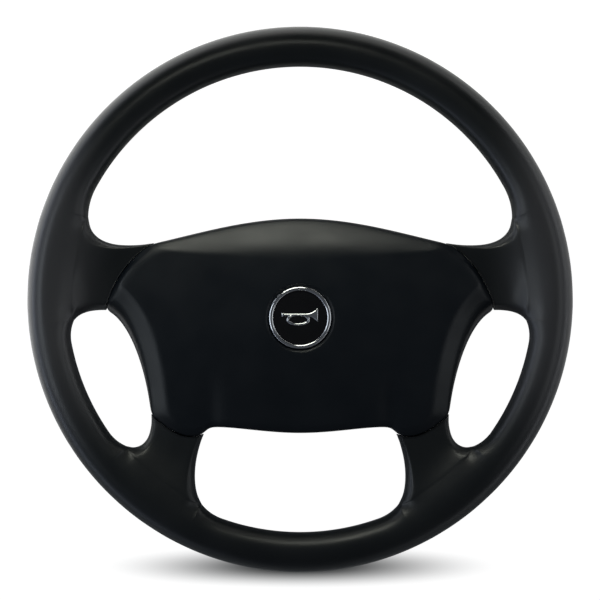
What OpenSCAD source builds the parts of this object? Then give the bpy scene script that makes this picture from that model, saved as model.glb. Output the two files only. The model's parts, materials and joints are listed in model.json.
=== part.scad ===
// Four-spoke steering wheel with a floating horn pad, lying face up.
// The steering axis is Z. The driver is at +Z and the top of the rim is at +Y.
// The origin is the rear mouth of the hub bore. All sizes are in millimetres.

/* [Rim] */
// Outer diameter of the rim
rim_d = 450; // [430:1:470]
// Width of the rim section, seen from the driver
rim_w = 33; // [31:0.5:35]
// Depth of the rim section, front to back
rim_h = 34; // [32:0.5:36]
// Height of the rim's middle plane above the hub's rear face
dish = 75; // [74:0.5:80]
// Radius of the cast ring inside the grip
core_r = 5.5; // [4.5:0.1:6.5]
// Space between the casting and the grip moulded round it
grip_gap = 0.4; // [0.3:0.05:0.8]
// Thickness of the spoke ends at the seam with the pad
stub_h = 26; // [24:0.5:28]

/* [Pad] */
// Height of the middle of the pad's front above the hub's rear face
pad_z = 88; // [86:0.5:92]
// Wall of the pad shell
pad_wall = 3; // [2.5:0.1:3.5]
// Gap at the seam between the pad and a spoke
seam_gap = 0.6; // [0.5:0.1:1.5]
// Fall of the pad's front from its middle to its sides
crown_x = 5.5; // [3:0.5:7]
// Fall of the pad's front from its middle to its top and bottom
crown_y = 3.5; // [2:0.5:5]
// Fall of the bevels per millimetre of their width
bevel_slope = 0.42; // [0.3:0.01:0.5]
// Radius of the pad's outer edge
edge_r = 4; // [2:0.5:5]
// Radius of the pad's edge along a seam
seam_edge_r = 1.2; // [0.8:0.2:4]
// Height of the lower edge of the pad's wall
skirt_z = 60; // [59:0.5:63]
// Height of the wall's lower edge where a spoke passes under it
notch_z = 70.5; // [70:0.5:72]
// Centre of the badge, up from the steering axis
badge_y = -15; // [-25:1:-5]
// Diameter of the badge
badge_d = 51; // [40:1:60]
// Depth of the seat that the badge lies in
badge_seat = 2.2; // [1.5:0.1:2.4]

/* [Hub] */
// Diameter of the bore for the steering shaft
bore_d = 22; // [18:0.5:24]
// Length of the steel boss
boss_h = 34; // [33:0.5:36]
// Diameter of the boss below its flange
boss_d = 34; // [32:0.5:35]
// Diameter of the flange that is cast in
flange_d = 42; // [40:0.5:44]
// Thickness of the cast hub plate
plate_t = 10; // [9:0.5:12]
// Diameter of the cast hub plate
plate_d = 76; // [74:1:80]
// Clearance between turned parts and their holes
fit = 0.1; // [0.05:0.01:0.15]

/* [Horn] */
// How far the pad can be pressed
travel = 2.5; // [1.5:0.1:2.6]
// Air left between the contacts at full travel
contact_air = 0.1; // [0.1:0.05:0.3]
// Thickness of the pad frame's sheet
frame_t = 1.5; // [1.2:0.1:2]
// Height of the bosses that carry the guide screws
guide_z = 40; // [39.5:0.5:41]
// Free length of a horn spring as fitted
spring_h = 12; // [11.5:0.1:13]
// Mean radius of a horn spring
spring_r = 6.4; // [6.2:0.1:6.8]
// Wire diameter of a horn spring
spring_wire = 1.1; // [0.8:0.1:1.2]
// Working turns of a horn spring
spring_turns = 4; // [3:1:4]

/* [Rear cover] */
// Height of the cover's upper edge
cover_z = 54.5; // [53:0.5:54.5]
// Wall of the cover
cover_wall = 2.5; // [2:0.1:3]
// Diameter of the round opening for the column
cover_hole = 84; // [82:1:88]
// Diameter of the cover's flat end
cover_end = 118; // [114:1:122]

/* [Hidden] */
$fn = 48;

// Colours
urethane = [0.07, 0.07, 0.08];
plastic = [0.10, 0.10, 0.11];
cast = [0.66, 0.67, 0.68];
steel = [0.55, 0.56, 0.58];
brass = [0.78, 0.62, 0.30];
nylon = [0.85, 0.83, 0.76];

// Curves in plan, for the right half. The left half is their mirror image.
// Each is a cubic curve: start, two handles, end.
pad_top = [[0, 66.9], [45, 66.9], [85, 54], [121, 46]];
pad_seam_up = [[121, 46], [136, 40], [157, 13], [161, -9]];
pad_side = [[161, -9], [141, -17], [127, -58], [123, -95]];
pad_seam_low = [[123, -95], [112, -104], [96, -118], [80, -111]];
pad_corner = [[80, -111], [78.5, -109], [77, -106.5], [74, -105.6]];
pad_bottom = [[74, -105.6], [60, -103.5], [30, -110], [0, -110]];
pad_edges = [pad_top, pad_seam_up, pad_side, pad_seam_low, pad_corner, pad_bottom];
// The crease where the pad's front meets its bevels, against the same edges
crease_top = [[0, 42], [40, 42], [80, 42], [114, 43.5]];
crease_seam_up = [[114, 43.5], [126, 41], [146, 24], [149, 11.5]];
crease_side = [[149, 11.5], [121, -8], [113, -50], [108.9, -94]];
crease_seam_low = [[108.9, -94], [104, -101], [94, -110], [82, -106.5]];
crease_corner = [[82, -106.5], [80, -105], [78, -103], [75, -102]];
crease_bottom = [[75, -102], [60, -100], [30, -106], [0, -106]];
pad_creases = [crease_top, crease_seam_up, crease_side, crease_seam_low, crease_corner, crease_bottom];
edge_steps = [8, 8, 10, 6, 2, 6];
pad_middle = [0, -25];
pad_half = [150, 85];

// Rim
rim_r = rim_d / 2;
ring_r = rim_r - rim_w / 2;
inner_r = rim_r - rim_w;
// Radius at which a corner of an opening is halfway round
corner_r = inner_r - 4.6;
sector_steps = 4;
section = [for (k = [0:sector_steps]) 90 * k / sector_steps];

// Angles round the rim: where a corner starts, and where the spoke's edge leaves it
start_a = [29, -34.5];
leave_a = [21.1, -40.3];
leave_b = [-5.3, -64.3];
start_b = [-11, -70.5];
// Handles of the spoke edges: the first is measured from the rim's corner
upper_hand = [[-0.9, -18.5], [158, 41], [-3.5, 5], [177, -8.6]];
lower_hand = [[-8.8, -3.3], [122, -120], [8.4, 12.3], [88.5, -132]];
hands = [upper_hand, lower_hand];
seams = [pad_seam_up, pad_seam_low];
seam_creases = [crease_seam_up, crease_seam_low];
stub_rows = 6;
// Share of the way from the rim's crest to the seam that lies on the rim
rim_share = 0.35;
// How slowly a spoke's rows set out from the rim
row_pace = 1.6;

// Hub and horn heights
plate_top = boss_h;
plate_z = plate_top - plate_t;
lip_t = 3;
frame_z = guide_z + spring_h;
bush_flange = 1;
head_z = frame_z + frame_t + bush_flange;
guide_pos = [[54, 8], [-54, 8], [39, -40], [-39, -40]];
guide_r = 3;
bush_gap = 0.3;
bush_r = 5;
contact_r = 31;
contact_w = 6;
contact_t = 0.8;
collar_r = contact_r - contact_w / 2 - 2;
peg_r = 2;
rivet_r = 1.5;
rivet_head_r = 2.8;
base_z = plate_top + 7;
bead_z = base_z + 3;
moving_z = bead_z + travel + contact_air;
peg_angles = [0, 120, 240];
slip_angles = [30, 150, 270];
rivet_angles = [90, 210, 330];
pad_boss_pos = [[66, 20], [-66, 20], [28, -60], [-28, -60]];
screw_r = 1.7;
screw_play = 0.3;
screw_head_r = 3.5;
screw_head_t = 2.5;
cover_boss_angles = [90, 200, 340];
cover_boss_at = (cover_hole + cover_end) / 4;
carrier_z = 15;
carrier_t = 3;
carrier_gap = 0.3;
slip_screw_at = boss_d / 2 + 6.5;
slip_screw_r = 1.5;
slip_head_r = 3;
slip_head_t = 2;
slip_bite = 6;
slip_in = slip_screw_at + 4.5;
slip_w = 8;
slip_out = slip_in + slip_w;
slip_t = 1.2;
dog_w = 10;
dog_h = 6;
dog_out = 5;
wire_at = contact_r;
wire_r = 1.1;
nut_r = 1.6;
head_recess_r = 3.8;

// Arms of the casting: a cubic curve in space from the hub to the ring
arm_w = 20;
arm_w_end = 14;
arm_h = 8.4;
arm_low = plate_z + 4.4;
arm_up = 66;
arm_end_a = [8, -52];
arm_curves = [
  [[20, 4, arm_low], [90, 10, arm_low - 0.4], [120, 22, arm_up], at_ring(arm_end_a[0])],
  [[14, -14, arm_low], [50, -52, arm_low - 0.4], [96, -92, arm_up], at_ring(arm_end_a[1])]
];
arm_steps = 8;
ring_steps = 48;

// Small vector helpers
function polar(r, a) = [r * cos(a), r * sin(a)];
function at_ring(a) = [ring_r * cos(a), ring_r * sin(a), dish];
function mix(a, b, t) = a * (1 - t) + b * t;
function cubic(p, t) =
  p[0] * pow(1 - t, 3) + p[1] * 3 * t * pow(1 - t, 2) + p[2] * 3 * t * t * (1 - t) + p[3] * pow(t, 3);
function cubic_way(p, t) =
  (p[1] - p[0]) * pow(1 - t, 2) + (p[2] - p[1]) * 2 * t * (1 - t) + (p[3] - p[2]) * t * t;
function unit(v) = v / norm(v);
function outward(p, t) = let (d = unit(cubic_way(p, t))) [-d[1], d[0]];
function lift(p, z) = [p[0], p[1], z];
function ease(t) = t * t * (3 - 2 * t);
// From 0 to 1, level at both ends and steepest after a third of the way
function early(t) = 1 - pow(1 - t, 3) * (1 + 3 * t);
function mirrored(p) = len(p) == 3 ? [-p[0], p[1], p[2]] : [-p[0], p[1]];
function backwards(l) = [for (i = [len(l) - 1:-1:0]) l[i]];
function join(l) = [for (a = l) for (b = a) b];
function same(a, b) = norm(a - b) < 0.0001;

// Triangles between neighbouring closed loops of equal length, without empty ones
function strip(rings, base) =
  let (n = len(rings[0]), pts = join(rings))
  [for (i = [0:len(rings) - 2]) for (j = [0:n - 1])
    let (a = i * n + j, b = i * n + (j + 1) % n, c = a + n, d = b + n)
    for (t = [[a, b, d], [a, d, c]])
      if (!same(pts[t[0]], pts[t[1]]) && !same(pts[t[1]], pts[t[2]]) && !same(pts[t[2]], pts[t[0]]))
        [t[0] + base, t[1] + base, t[2] + base]];

module skin(rings) {
  polyhedron(join(rings), strip(rings, 0));
}

// The pad's front as a height over the plan
function front_z(p) =
  pad_z - crown_x * pow((p[0] - pad_middle[0]) / pad_half[0], 2)
  - crown_y * pow((p[1] - pad_middle[1]) / pad_half[1], 2) - valley(p);
// A shallow valley on each side, between the middle and the lower spokes
function valley(p) =
  1.6 * exp(-pow((abs(p[0]) - 74) / 9, 2)) * ease(min(1, max(0, (-45 - p[1]) / 45)));
function edge_z(o, c) = front_z(c) - bevel_slope * norm(o - c);

// One station of the pad's edge: outline, crease, outward way, height of the wall's foot, edge radius
function station(e, t) =
  let (o = cubic(pad_edges[e], t), c = cubic(pad_creases[e], t), seam = e == 1 || e == 3)
  [o, c, outward(pad_edges[e], t), seam ? notch_z : skirt_z,
    seam ? seam_edge_r : e == 2 ? min(edge_r * side_round(t), edge_z(o, c) - skirt_z - 1) : edge_r];
// The round of a side edge is widest at its upper end
function side_round(t) = 1 + 4.2 * pow(1 - t, 1.4);
function flip(s) = [mirrored(s[0]), mirrored(s[1]), mirrored(s[2]), s[3], s[4]];
pad_right = [for (e = [0:5]) for (k = [0:edge_steps[e] - 1]) station(e, k / edge_steps[e])];
pad_last = station(5, 1);
pad_left = [for (i = [len(pad_right) - 1:-1:1]) flip(pad_right[i])];
pad_stations = concat(pad_right, [pad_last], pad_left);

// Rings of the pad shell, from the front's middle round the wall's foot to the inside.
// The round leaves the bevel at round_reach of its radius from the outline.
round_reach = 0.75;
function toward(s, f) = mix(s[1], pad_middle, f);
function edge_share(s) = min(0.6, round_reach * s[4] / norm(s[0] - s[1]));
function front_ring(f) = [for (s = pad_stations) lift(toward(s, f), front_z(toward(s, f)))];
function bevel_ring(f) = [for (s = pad_stations)
  lift(mix(s[0], s[1], f), mix(edge_z(s[0], s[1]), front_z(s[1]), f))];
function edge_ring(f, down) = [for (s = pad_stations)
  lift(mix(s[0], s[1], f * edge_share(s)), edge_z(s[0], s[1]) + down * s[4])];
function foot_ring(inset) = [for (s = pad_stations) lift(s[0] - s[2] * inset, s[3])];
function inside_ring(f) = [for (s = pad_stations) lift(toward(s, f), front_z(toward(s, f)) - pad_wall)];
pad_rings = [
  front_ring(1), front_ring(0.7), front_ring(0.4), front_ring(0.15), front_ring(0.02),
  bevel_ring(0.86), [for (s = pad_stations) lift(mix(s[0], s[1], edge_share(s)),
    mix(edge_z(s[0], s[1]), front_z(s[1]), edge_share(s)))],
  edge_ring(0.25, -0.3), edge_ring(0, -1), foot_ring(0), foot_ring(pad_wall),
  [for (s = pad_stations)
    lift(s[0] - s[2] * pad_wall, max(s[3] + 0.5, edge_z(s[0], s[1]) - s[4] - pad_wall / 3))],
  inside_ring(0.08), inside_ring(0.4), inside_ring(1)
];

// Rim and spokes of the grip
function rim_inner(a) =
  a > leave_a[0] ? inner_r - corner_fall(a, start_a[0], leave_a[0])
  : a > leave_b[0] ? corner_r
  : a > start_b[0] ? inner_r - corner_fall(a, start_b[0], leave_b[0])
  : a > start_a[1] ? inner_r
  : a > leave_a[1] ? inner_r - corner_fall(a, start_a[1], leave_a[1])
  : a > leave_b[1] ? corner_r
  : inner_r - corner_fall(a, start_b[1], leave_b[1]);
function corner_fall(a, from, to) =
  (inner_r - corner_r) * pow(min(1, max(0, (a - from) / (to - from))), 2.2);

// One closed loop round the rim's section. fullness is 0 where the rim is a plain tube
// and 1 in the middle of a spoke, where the front and back run on towards the pad.
function rim_loop(a, fullness, front, back) =
  let (r_in = rim_inner(a), hh = rim_h / 2)
  concat(
    [for (f = section) let (q = 1 - f / 90) lift(polar(mix(ring_r, r_in, cos(f)), a),
      side_z(q, fullness, front, hh))],
    [for (f = backwards(section)) if (f < 90)
      lift(polar(mix(ring_r, rim_r, cos(f)), a), dish + hh * sin(f))],
    [for (f = section) if (f > 0) lift(polar(mix(ring_r, rim_r, cos(f)), a), dish - hh * sin(f))],
    [for (f = backwards(section)) if (f < 90) let (q = 1 - f / 90)
      lift(polar(mix(ring_r, r_in, cos(f)), a), 2 * dish - side_z(q, fullness, back, hh))]
  );
function side_z(q, fullness, fall, hh) =
  dish + hh * sqrt(1 - (1 - fullness * fullness) * pow(sin(90 * q), 2))
  - fall * early(rim_share * sin(90 * q)) * fullness;

// Edges of spoke k in plan, from the rim to the seam
function seam_point(k, t) = cubic(seams[k], t) + outward(seams[k], t) * seam_gap;
function edge_a(k, v) = let (c = polar(corner_r, leave_a[k]))
  cubic([c, c + hands[k][0], hands[k][1], seam_point(k, 0)], v);
function edge_b(k, v) = let (c = polar(corner_r, leave_b[k]))
  cubic([c, c + hands[k][2], hands[k][3], seam_point(k, 1)], v);
function rim_point(k, s) = polar(corner_r, mix(leave_a[k], leave_b[k], s));
function stub_point(k, s, v) =
  mix(edge_a(k, v), edge_b(k, v), s) + mix(rim_point(k, s), seam_point(k, s), v)
  - mix(mix(edge_a(k, 0), edge_b(k, 0), s), mix(edge_a(k, 1), edge_b(k, 1), s), v);

// Columns across a spoke: round edges at both sides and a flatter middle
column_list = concat(
  [for (f = section) [1 - cos(f), 0, sin(f)]],
  [[1, 0.25, 1], [1, 0.5, 1], [1, 0.75, 1]],
  [for (f = backwards(section)) [1 - cos(f), 1, sin(f)]]
);
// Share of the spoke's width that a round edge takes, at the rim and at the seam
round_rim = 0.19;
round_seam = 0.1;
function column_at(c, v) =
  let (w = mix(round_rim, round_seam, v))
  c[1] == 0 ? c[0] * w : c[1] == 1 ? 1 - c[0] * w : w + (1 - 2 * w) * c[1];
function seam_front(k, s) = edge_z(cubic(seams[k], s), cubic(seam_creases[k], s)) - 0.3;
function stub_heights(k, c, v) =
  let (
    s = column_at(c, v),
    g = early(rim_share + (1 - rim_share) * pow(v, row_pace)),
    m = 1 - (1 - c[2]) * pow(1 - v, 2),
    top = dish + rim_h / 2 - (dish + rim_h / 2 - seam_front(k, s)) * g * m,
    low = dish - rim_h / 2 - (dish - rim_h / 2 - seam_front(k, s) + stub_h) * g * m,
    mid = (top + low) / 2
  ) [mid + (top - mid) * c[2], mid - (mid - low) * c[2]];
function stub_side(k, c, v, side) = lift(stub_point(k, column_at(c, v), v), stub_heights(k, c, v)[side]);
function stub_loop(k, c) =
  let (s = column_at(c, 0), a = mix(leave_a[k], leave_b[k], s), front = seam_front(k, s))
  concat(
    rim_loop(a, c[2], dish + rim_h / 2 - front, front - stub_h - dish + rim_h / 2),
    [for (v = [1:stub_rows]) stub_side(k, c, v / stub_rows, 1)],
    [for (v = [stub_rows:-1:1]) stub_side(k, c, v / stub_rows, 0)]
  );
function plain_loops(from, to, n) = [for (i = [0:n]) rim_loop(mix(from, to, i / n), 0, 0, 0)];
function stub_loops(k) = [for (c = column_list) stub_loop(k, c)];
right_strips = [
  plain_loops(90, start_a[0], 10), plain_loops(start_a[0], leave_a[0], 3), stub_loops(0),
  plain_loops(leave_b[0], start_b[0], 3), plain_loops(start_b[0], start_a[1], 5),
  plain_loops(start_a[1], leave_a[1], 3), stub_loops(1),
  plain_loops(leave_b[1], start_b[1], 3), plain_loops(start_b[1], -90, 4)
];
left_strips = [for (s = right_strips) [for (l = backwards(s)) [for (p = l) mirrored(p)]]];
all_strips = concat(right_strips, left_strips);
strip_counts = [for (s = all_strips) len(s) * len(s[0])];
function sum_to(l, n) = n <= 0 ? 0 : l[n - 1] + sum_to(l, n - 1);

module grip_solid() {
  polyhedron(
    [for (s = all_strips) each join(s)],
    [for (i = [0:len(all_strips) - 1]) each strip(all_strips[i], sum_to(strip_counts, i))]
  );
}

// Chamfered bar section of an arm or of the ring, grown by a clearance
function bar(w, h, grow) =
  let (a = w / 2 + grow, b = h / 2 + grow, c = 2)
  [[-a, -b + c], [-a, b - c], [-a + c, b], [a - c, b], [a, b - c], [a, -b + c], [a - c, -b], [-a + c, -b]];
function arm_ring(k, t, grow) =
  let (
    p = cubic(arm_curves[k], t), d = unit(cubic_way(arm_curves[k], t)),
    side = unit(cross(d, [0, 0, 1])), up = cross(side, d)
  ) [for (q = bar(mix(arm_w, arm_w_end, t), arm_h, grow)) p + side * q[0] + up * q[1]];
function point_ring(ring) = let (m = (ring[0] + ring[4]) / 2) [for (p = ring) m];
function arm_rings(k, grow) =
  let (rings = [for (i = [0:arm_steps]) arm_ring(k, i / arm_steps, grow)])
  concat([point_ring(rings[0])], rings, [point_ring(rings[arm_steps])]);
module arms(grow) {
  for (k = [0:1]) {
    skin(backwards(arm_rings(k, grow)));
    mirror([1, 0, 0]) skin(backwards(arm_rings(k, grow)));
  }
}
// The ring is drawn with flat sides, so that the grip's channel follows it exactly
module core_ring(grow) {
  r = core_r + grow;
  loops = [for (i = [0:ring_steps]) let (a = 360 * (i % ring_steps) / ring_steps)
    [for (j = [0:7]) let (b = 22.5 + 45 * j) lift(polar(ring_r + r * cos(b), a), dish + r * sin(b))]];
  skin(loops);
}

module grip() {
  color(urethane) difference() {
    grip_solid();
    core_ring(grip_gap);
    arms(grip_gap);
  }
}

module tube(r_out, r_in, h) {
  difference() {
    cylinder(r = r_out, h = h);
    translate([0, 0, -1]) cylinder(r = r_in, h = h + 2);
  }
}

module armature() {
  color(cast) difference() {
    union() {
      core_ring(0);
      arms(0);
      translate([0, 0, plate_z]) cylinder(d = plate_d, h = plate_t);
      cylinder_collar();
      for (a = cover_boss_angles) rotate([0, 0, a]) {
        translate([plate_d / 4, -7, plate_z]) cube([cover_boss_at - plate_d / 4, 14, plate_t - 2]);
        translate([cover_boss_at, 0, plate_z]) cylinder(r = 7, h = plate_t - 2);
      }
      for (p = guide_pos) translate([p[0], p[1], plate_z + 4]) cylinder(r = 8, h = guide_z - plate_z - 4);
    }
    translate([0, 0, plate_z + lip_t]) cylinder(r = flange_d / 2 + fit, h = plate_t + 10);
    translate([0, 0, plate_z - 1]) cylinder(r = boss_d / 2 + fit, h = plate_t);
    for (p = guide_pos) translate([p[0], p[1], guide_z - 11]) cylinder(r = 2.5 + fit, h = 12);
    for (a = cover_boss_angles) rotate([0, 0, a]) translate([cover_boss_at, 0, plate_z - 1])
      cylinder(r = screw_r + fit, h = plate_t + 2);
    for (a = slip_angles) rotate([0, 0, a]) translate([slip_screw_at, 0, plate_z - 1])
      cylinder(r = slip_screw_r + fit, h = slip_bite + 2);
    for (a = peg_angles) rotate([0, 0, a]) translate([contact_r, 0, plate_z + 1])
      cylinder(r = peg_r + fit, h = plate_t);
    translate([0, wire_at, plate_z - 1]) cylinder(r = wire_r + 1.5, h = plate_t + 2);
  }
}
module cylinder_collar() {
  translate([0, 0, plate_top - 1]) cylinder(r = collar_r, h = 5);
}

module hub_boss() {
  color(steel) difference() {
    union() {
      cylinder(d = boss_d, h = boss_h - 2);
      translate([0, 0, plate_z + lip_t]) cylinder(d = flange_d, h = boss_h - plate_z - lip_t);
    }
    translate([0, 0, -1]) cylinder(d = bore_d, h = boss_h + 2);
    translate([0, 0, boss_h - 8]) cylinder(r = 15.5, h = 9);
  }
}

// Rear cover: a bowl that starts as the pad's outline and ends as a circle
cover_inset = 1.2;
cover_steps = 5;
cover_stations = [for (i = [0:2:len(pad_stations) - 1]) pad_stations[i]];
function round_point(s, r) = r * unit(s[0] - pad_middle * 0.6);
function bowl(t, inset, z_end, r_end) = [for (s = cover_stations)
  lift(mix(s[0] - s[2] * (cover_inset + inset), round_point(s, r_end), pow(t, 1.6)), mix(cover_z, z_end, t))];
cover_round = 4;
cover_rings = concat(
  [for (i = [0:cover_steps]) bowl(i / cover_steps, 0, cover_round, cover_end / 2)],
  [[for (s = cover_stations) lift(round_point(s, cover_end / 2 - cover_round), 0)]],
  [[for (s = cover_stations) lift(round_point(s, cover_hole / 2), 0)]],
  [[for (s = cover_stations) lift(round_point(s, cover_hole / 2), cover_wall)]],
  [for (i = [cover_steps:-1:0]) bowl(i / cover_steps, cover_wall, cover_round + cover_wall * 0.6,
    cover_end / 2 - cover_wall)],
  [bowl(0, 0, cover_round, cover_end / 2)]
);
module rear_cover() {
  color(plastic) difference() {
    union() {
      skin(backwards(cover_rings));
      for (a = cover_boss_angles) rotate([0, 0, a]) translate([cover_boss_at, 0, 0.5])
        cylinder(r = 5, h = plate_z - 0.5);
    }
    for (a = cover_boss_angles) rotate([0, 0, a]) translate([cover_boss_at, 0, -1]) {
      cylinder(r = screw_r + screw_play, h = plate_z + 2);
      cylinder(r = head_recess_r, h = 4.5);
    }
  }
}
module cover_screws() {
  color(steel) for (a = cover_boss_angles) rotate([0, 0, a]) translate([cover_boss_at, 0, 0]) difference() {
    union() {
      translate([0, 0, 1]) cylinder(r = screw_head_r, h = screw_head_t);
      translate([0, 0, 3]) cylinder(r = screw_r, h = plate_z + plate_t - 6);
    }
    translate([0, 0, 0.5]) cylinder(r = nut_r, h = 2, $fn = 6);
  }
}

// Slip ring on its carrier, behind the hub, with the two dogs that cancel the indicators
module slip_ring_carrier() {
  color(plastic) difference() {
    union() {
      translate([0, 0, carrier_z]) cylinder(r = slip_out + 2, h = carrier_t);
      translate([0, 0, carrier_z]) cylinder(r = boss_d / 2 + 3, h = plate_z - carrier_z);
      for (a = slip_angles) rotate([0, 0, a]) translate([slip_screw_at, 0, carrier_z])
        cylinder(r = slip_head_r + 0.4, h = plate_z - carrier_z);
      for (a = [0, 180]) rotate([0, 0, a]) translate([boss_d / 2 + 2, -dog_w / 2, carrier_z - dog_h])
        cube([dog_out, dog_w, dog_h + 1]);
    }
    translate([0, 0, carrier_z - dog_h - 1]) cylinder(r = boss_d / 2 + carrier_gap, h = plate_z);
    for (a = slip_angles) rotate([0, 0, a]) translate([slip_screw_at, 0, carrier_z - 1])
      cylinder(r = slip_screw_r + 2 * fit, h = plate_z - carrier_z + 2);
    translate([0, wire_at, carrier_z - 1]) cylinder(r = wire_r + 0.7, h = carrier_t + 2);
  }
}
module slip_ring() {
  color(brass) translate([0, 0, carrier_z - slip_t]) tube(slip_out, slip_in, slip_t);
}
module slip_ring_screws() {
  color(steel) for (a = slip_angles) rotate([0, 0, a]) translate([slip_screw_at, 0, carrier_z]) {
    translate([0, 0, -slip_head_t]) cylinder(r = slip_head_r, h = slip_head_t);
    translate([0, 0, -1]) cylinder(r = slip_screw_r, h = plate_z - carrier_z + slip_bite + 1);
  }
}

// Lead from the slip ring up to the fixed contact
module horn_wire() {
  color("firebrick") translate([0, wire_at, carrier_z]) cylinder(r = wire_r, h = base_z - carrier_z);
}

module contact_base() {
  color(nylon) difference() {
    union() {
      translate([0, 0, plate_top])
        tube(contact_r + contact_w / 2 + 1, collar_r + carrier_gap, base_z - plate_top);
      for (a = peg_angles) rotate([0, 0, a]) translate([contact_r, 0, plate_z + 2])
        cylinder(r = peg_r, h = plate_t);
    }
    translate([0, wire_at, plate_top - 1]) cylinder(r = wire_r + 3 * fit, h = base_z - plate_top + 2);
  }
}
module fixed_contact() {
  color(brass) rotate_extrude() polygon([
    [contact_r - contact_w / 2, base_z], [contact_r + contact_w / 2, base_z],
    [contact_r + contact_w / 2, base_z + contact_t], [contact_r + 1.6, base_z + contact_t],
    [contact_r + 0.6, bead_z], [contact_r - 0.6, bead_z],
    [contact_r - 1.6, base_z + contact_t], [contact_r - contact_w / 2, base_z + contact_t]
  ]);
}

// Guides of the floating pad
module guide_screws() {
  color(steel) for (p = guide_pos) translate([p[0], p[1], 0]) difference() {
    union() {
      translate([0, 0, guide_z - 10]) cylinder(r = 2.5, h = 11);
      translate([0, 0, guide_z]) cylinder(r = guide_r, h = head_z - guide_z + 0.5);
      translate([0, 0, head_z]) cylinder(r = 6.5, h = 4);
    }
    translate([0, 0, head_z + 1.5]) cylinder(r = 2.9, h = 3, $fn = 6);
  }
}
module guide_bush(i) {
  color(nylon) translate([guide_pos[i][0], guide_pos[i][1], 0]) difference() {
    union() {
      translate([0, 0, frame_z]) cylinder(r = bush_r, h = frame_t + 0.5);
      translate([0, 0, frame_z + frame_t]) cylinder(r = bush_r + 2.5, h = bush_flange);
    }
    translate([0, 0, frame_z - 1]) cylinder(r = guide_r + bush_gap, h = 6);
  }
}
// A coil with half a flat turn at each end, so that it stands on its seats
module horn_spring(i) {
  r = spring_wire / 2;
  flat_turn = 0.5;
  per_turn = 8;
  steps = (spring_turns + 2 * flat_turn) * per_turn;
  low = guide_z + r * 1.02;
  rise = spring_h - 2.04 * r;
  loops = [for (j = [0:steps]) let (
      n = j / per_turn,
      a = 360 * n,
      z = low + rise * min(1, max(0, (n - flat_turn) / spring_turns))
    ) [for (q = [0:3]) let (b = 90 * q + 45) lift(polar(spring_r + r * cos(b), a), z + r * sin(b))]];
  color(steel) translate([guide_pos[i][0], guide_pos[i][1], 0])
    skin(concat([cap_ring(loops[0])], loops, [cap_ring(loops[steps])]));
}
function cap_ring(ring) = let (m = (ring[0] + ring[2]) / 2) [for (p = ring) m];

frame_outline = [[73, 29], [73, 2], [50, -42], [38, -69], [-38, -69], [-50, -42], [-73, 2], [-73, 29]];
module pad_frame() {
  color(steel) difference() {
    translate([0, 0, frame_z]) linear_extrude(frame_t) polygon(frame_outline);
    translate([0, 0, frame_z - 1]) cylinder(r = 20, h = frame_t + 2);
    for (p = guide_pos) translate([p[0], p[1], frame_z - 1]) cylinder(r = bush_r + fit, h = frame_t + 2);
    for (p = pad_boss_pos) translate([p[0], p[1], frame_z - 1])
      cylinder(r = screw_r + screw_play, h = frame_t + 2);
    for (a = rivet_angles) rotate([0, 0, a]) translate([contact_r, 0, frame_z - 1])
      cylinder(r = rivet_r + fit, h = frame_t + 2);
    translate([0, -50, frame_z - 1]) linear_extrude(frame_t + 2) square([34, 9], center = true);
  }
}
module moving_contact() {
  color(brass) difference() {
    translate([0, 0, moving_z]) tube(contact_r + contact_w / 2, contact_r - contact_w / 2, 1);
    for (a = rivet_angles) rotate([0, 0, a]) translate([contact_r, 0, moving_z - 1])
      cylinder(r = rivet_r + fit, h = 3);
  }
}
module contact_rivets() {
  color(steel) for (a = rivet_angles) rotate([0, 0, a]) translate([contact_r, 0, 0]) {
    translate([0, 0, moving_z]) cylinder(r = rivet_r, h = frame_z + frame_t - moving_z + 0.5);
    translate([0, 0, moving_z + 1]) cylinder(r = rivet_head_r, h = frame_z - moving_z - 1);
    translate([0, 0, frame_z + frame_t]) cylinder(r = rivet_head_r, h = 1.2);
  }
}
module pad_screws() {
  color(steel) for (p = pad_boss_pos) translate([p[0], p[1], 0]) difference() {
    union() {
      translate([0, 0, frame_z - screw_head_t]) cylinder(r = screw_head_r, h = screw_head_t);
      translate([0, 0, frame_z - 1]) cylinder(r = screw_r, h = 17);
    }
    translate([0, 0, frame_z - screw_head_t - 0.5]) cylinder(r = nut_r, h = 2, $fn = 6);
  }
}

// The pad: a crowned shell with bevels, a wall all round, ribs and screw bosses
rib_t = 2;
rib_top = pad_z - 2.8;
module horn_pad() {
  seat_z = pad_z - badge_seat;
  color(urethane) difference() {
    union() {
      skin(backwards(pad_rings));
      for (i = [0:3]) translate([pad_boss_pos[i][0], pad_boss_pos[i][1], frame_z + frame_t])
        cylinder(r = 5, h = rib_top - frame_z - frame_t);
      for (y = [20, -60]) translate([-66, y - rib_t / 2, notch_z]) cube([132, rib_t, rib_top - notch_z]);
      for (x = [45, -45]) translate([x - rib_t / 2, -60, notch_z]) cube([rib_t, 80, rib_top - notch_z]);
      translate([0, badge_y, pad_z - 6.5]) cylinder(d = badge_d + 6, h = 5);
    }
    translate([0, badge_y, seat_z]) cylinder(d = badge_d + 1, h = 10);
    translate([0, badge_y, pad_z - 12]) cylinder(r = 3 + fit, h = 12);
    for (p = pad_boss_pos) translate([p[0], p[1], frame_z]) cylinder(r = screw_r + fit, h = 18);
  }
}
ring_w = 3.2;
module badge_disc() {
  seat_z = pad_z - badge_seat;
  color(plastic) translate([0, badge_y, 0]) {
    translate([0, 0, seat_z]) cylinder(d = badge_d, h = 1);
    translate([0, 0, seat_z + 0.9])
      cylinder(r1 = badge_d / 2 - ring_w - 0.2, r2 = badge_d / 2 - ring_w - 1.4, h = 1);
    translate([0, 0, seat_z - 7]) cylinder(r = 3, h = 7.5);
  }
}
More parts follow.
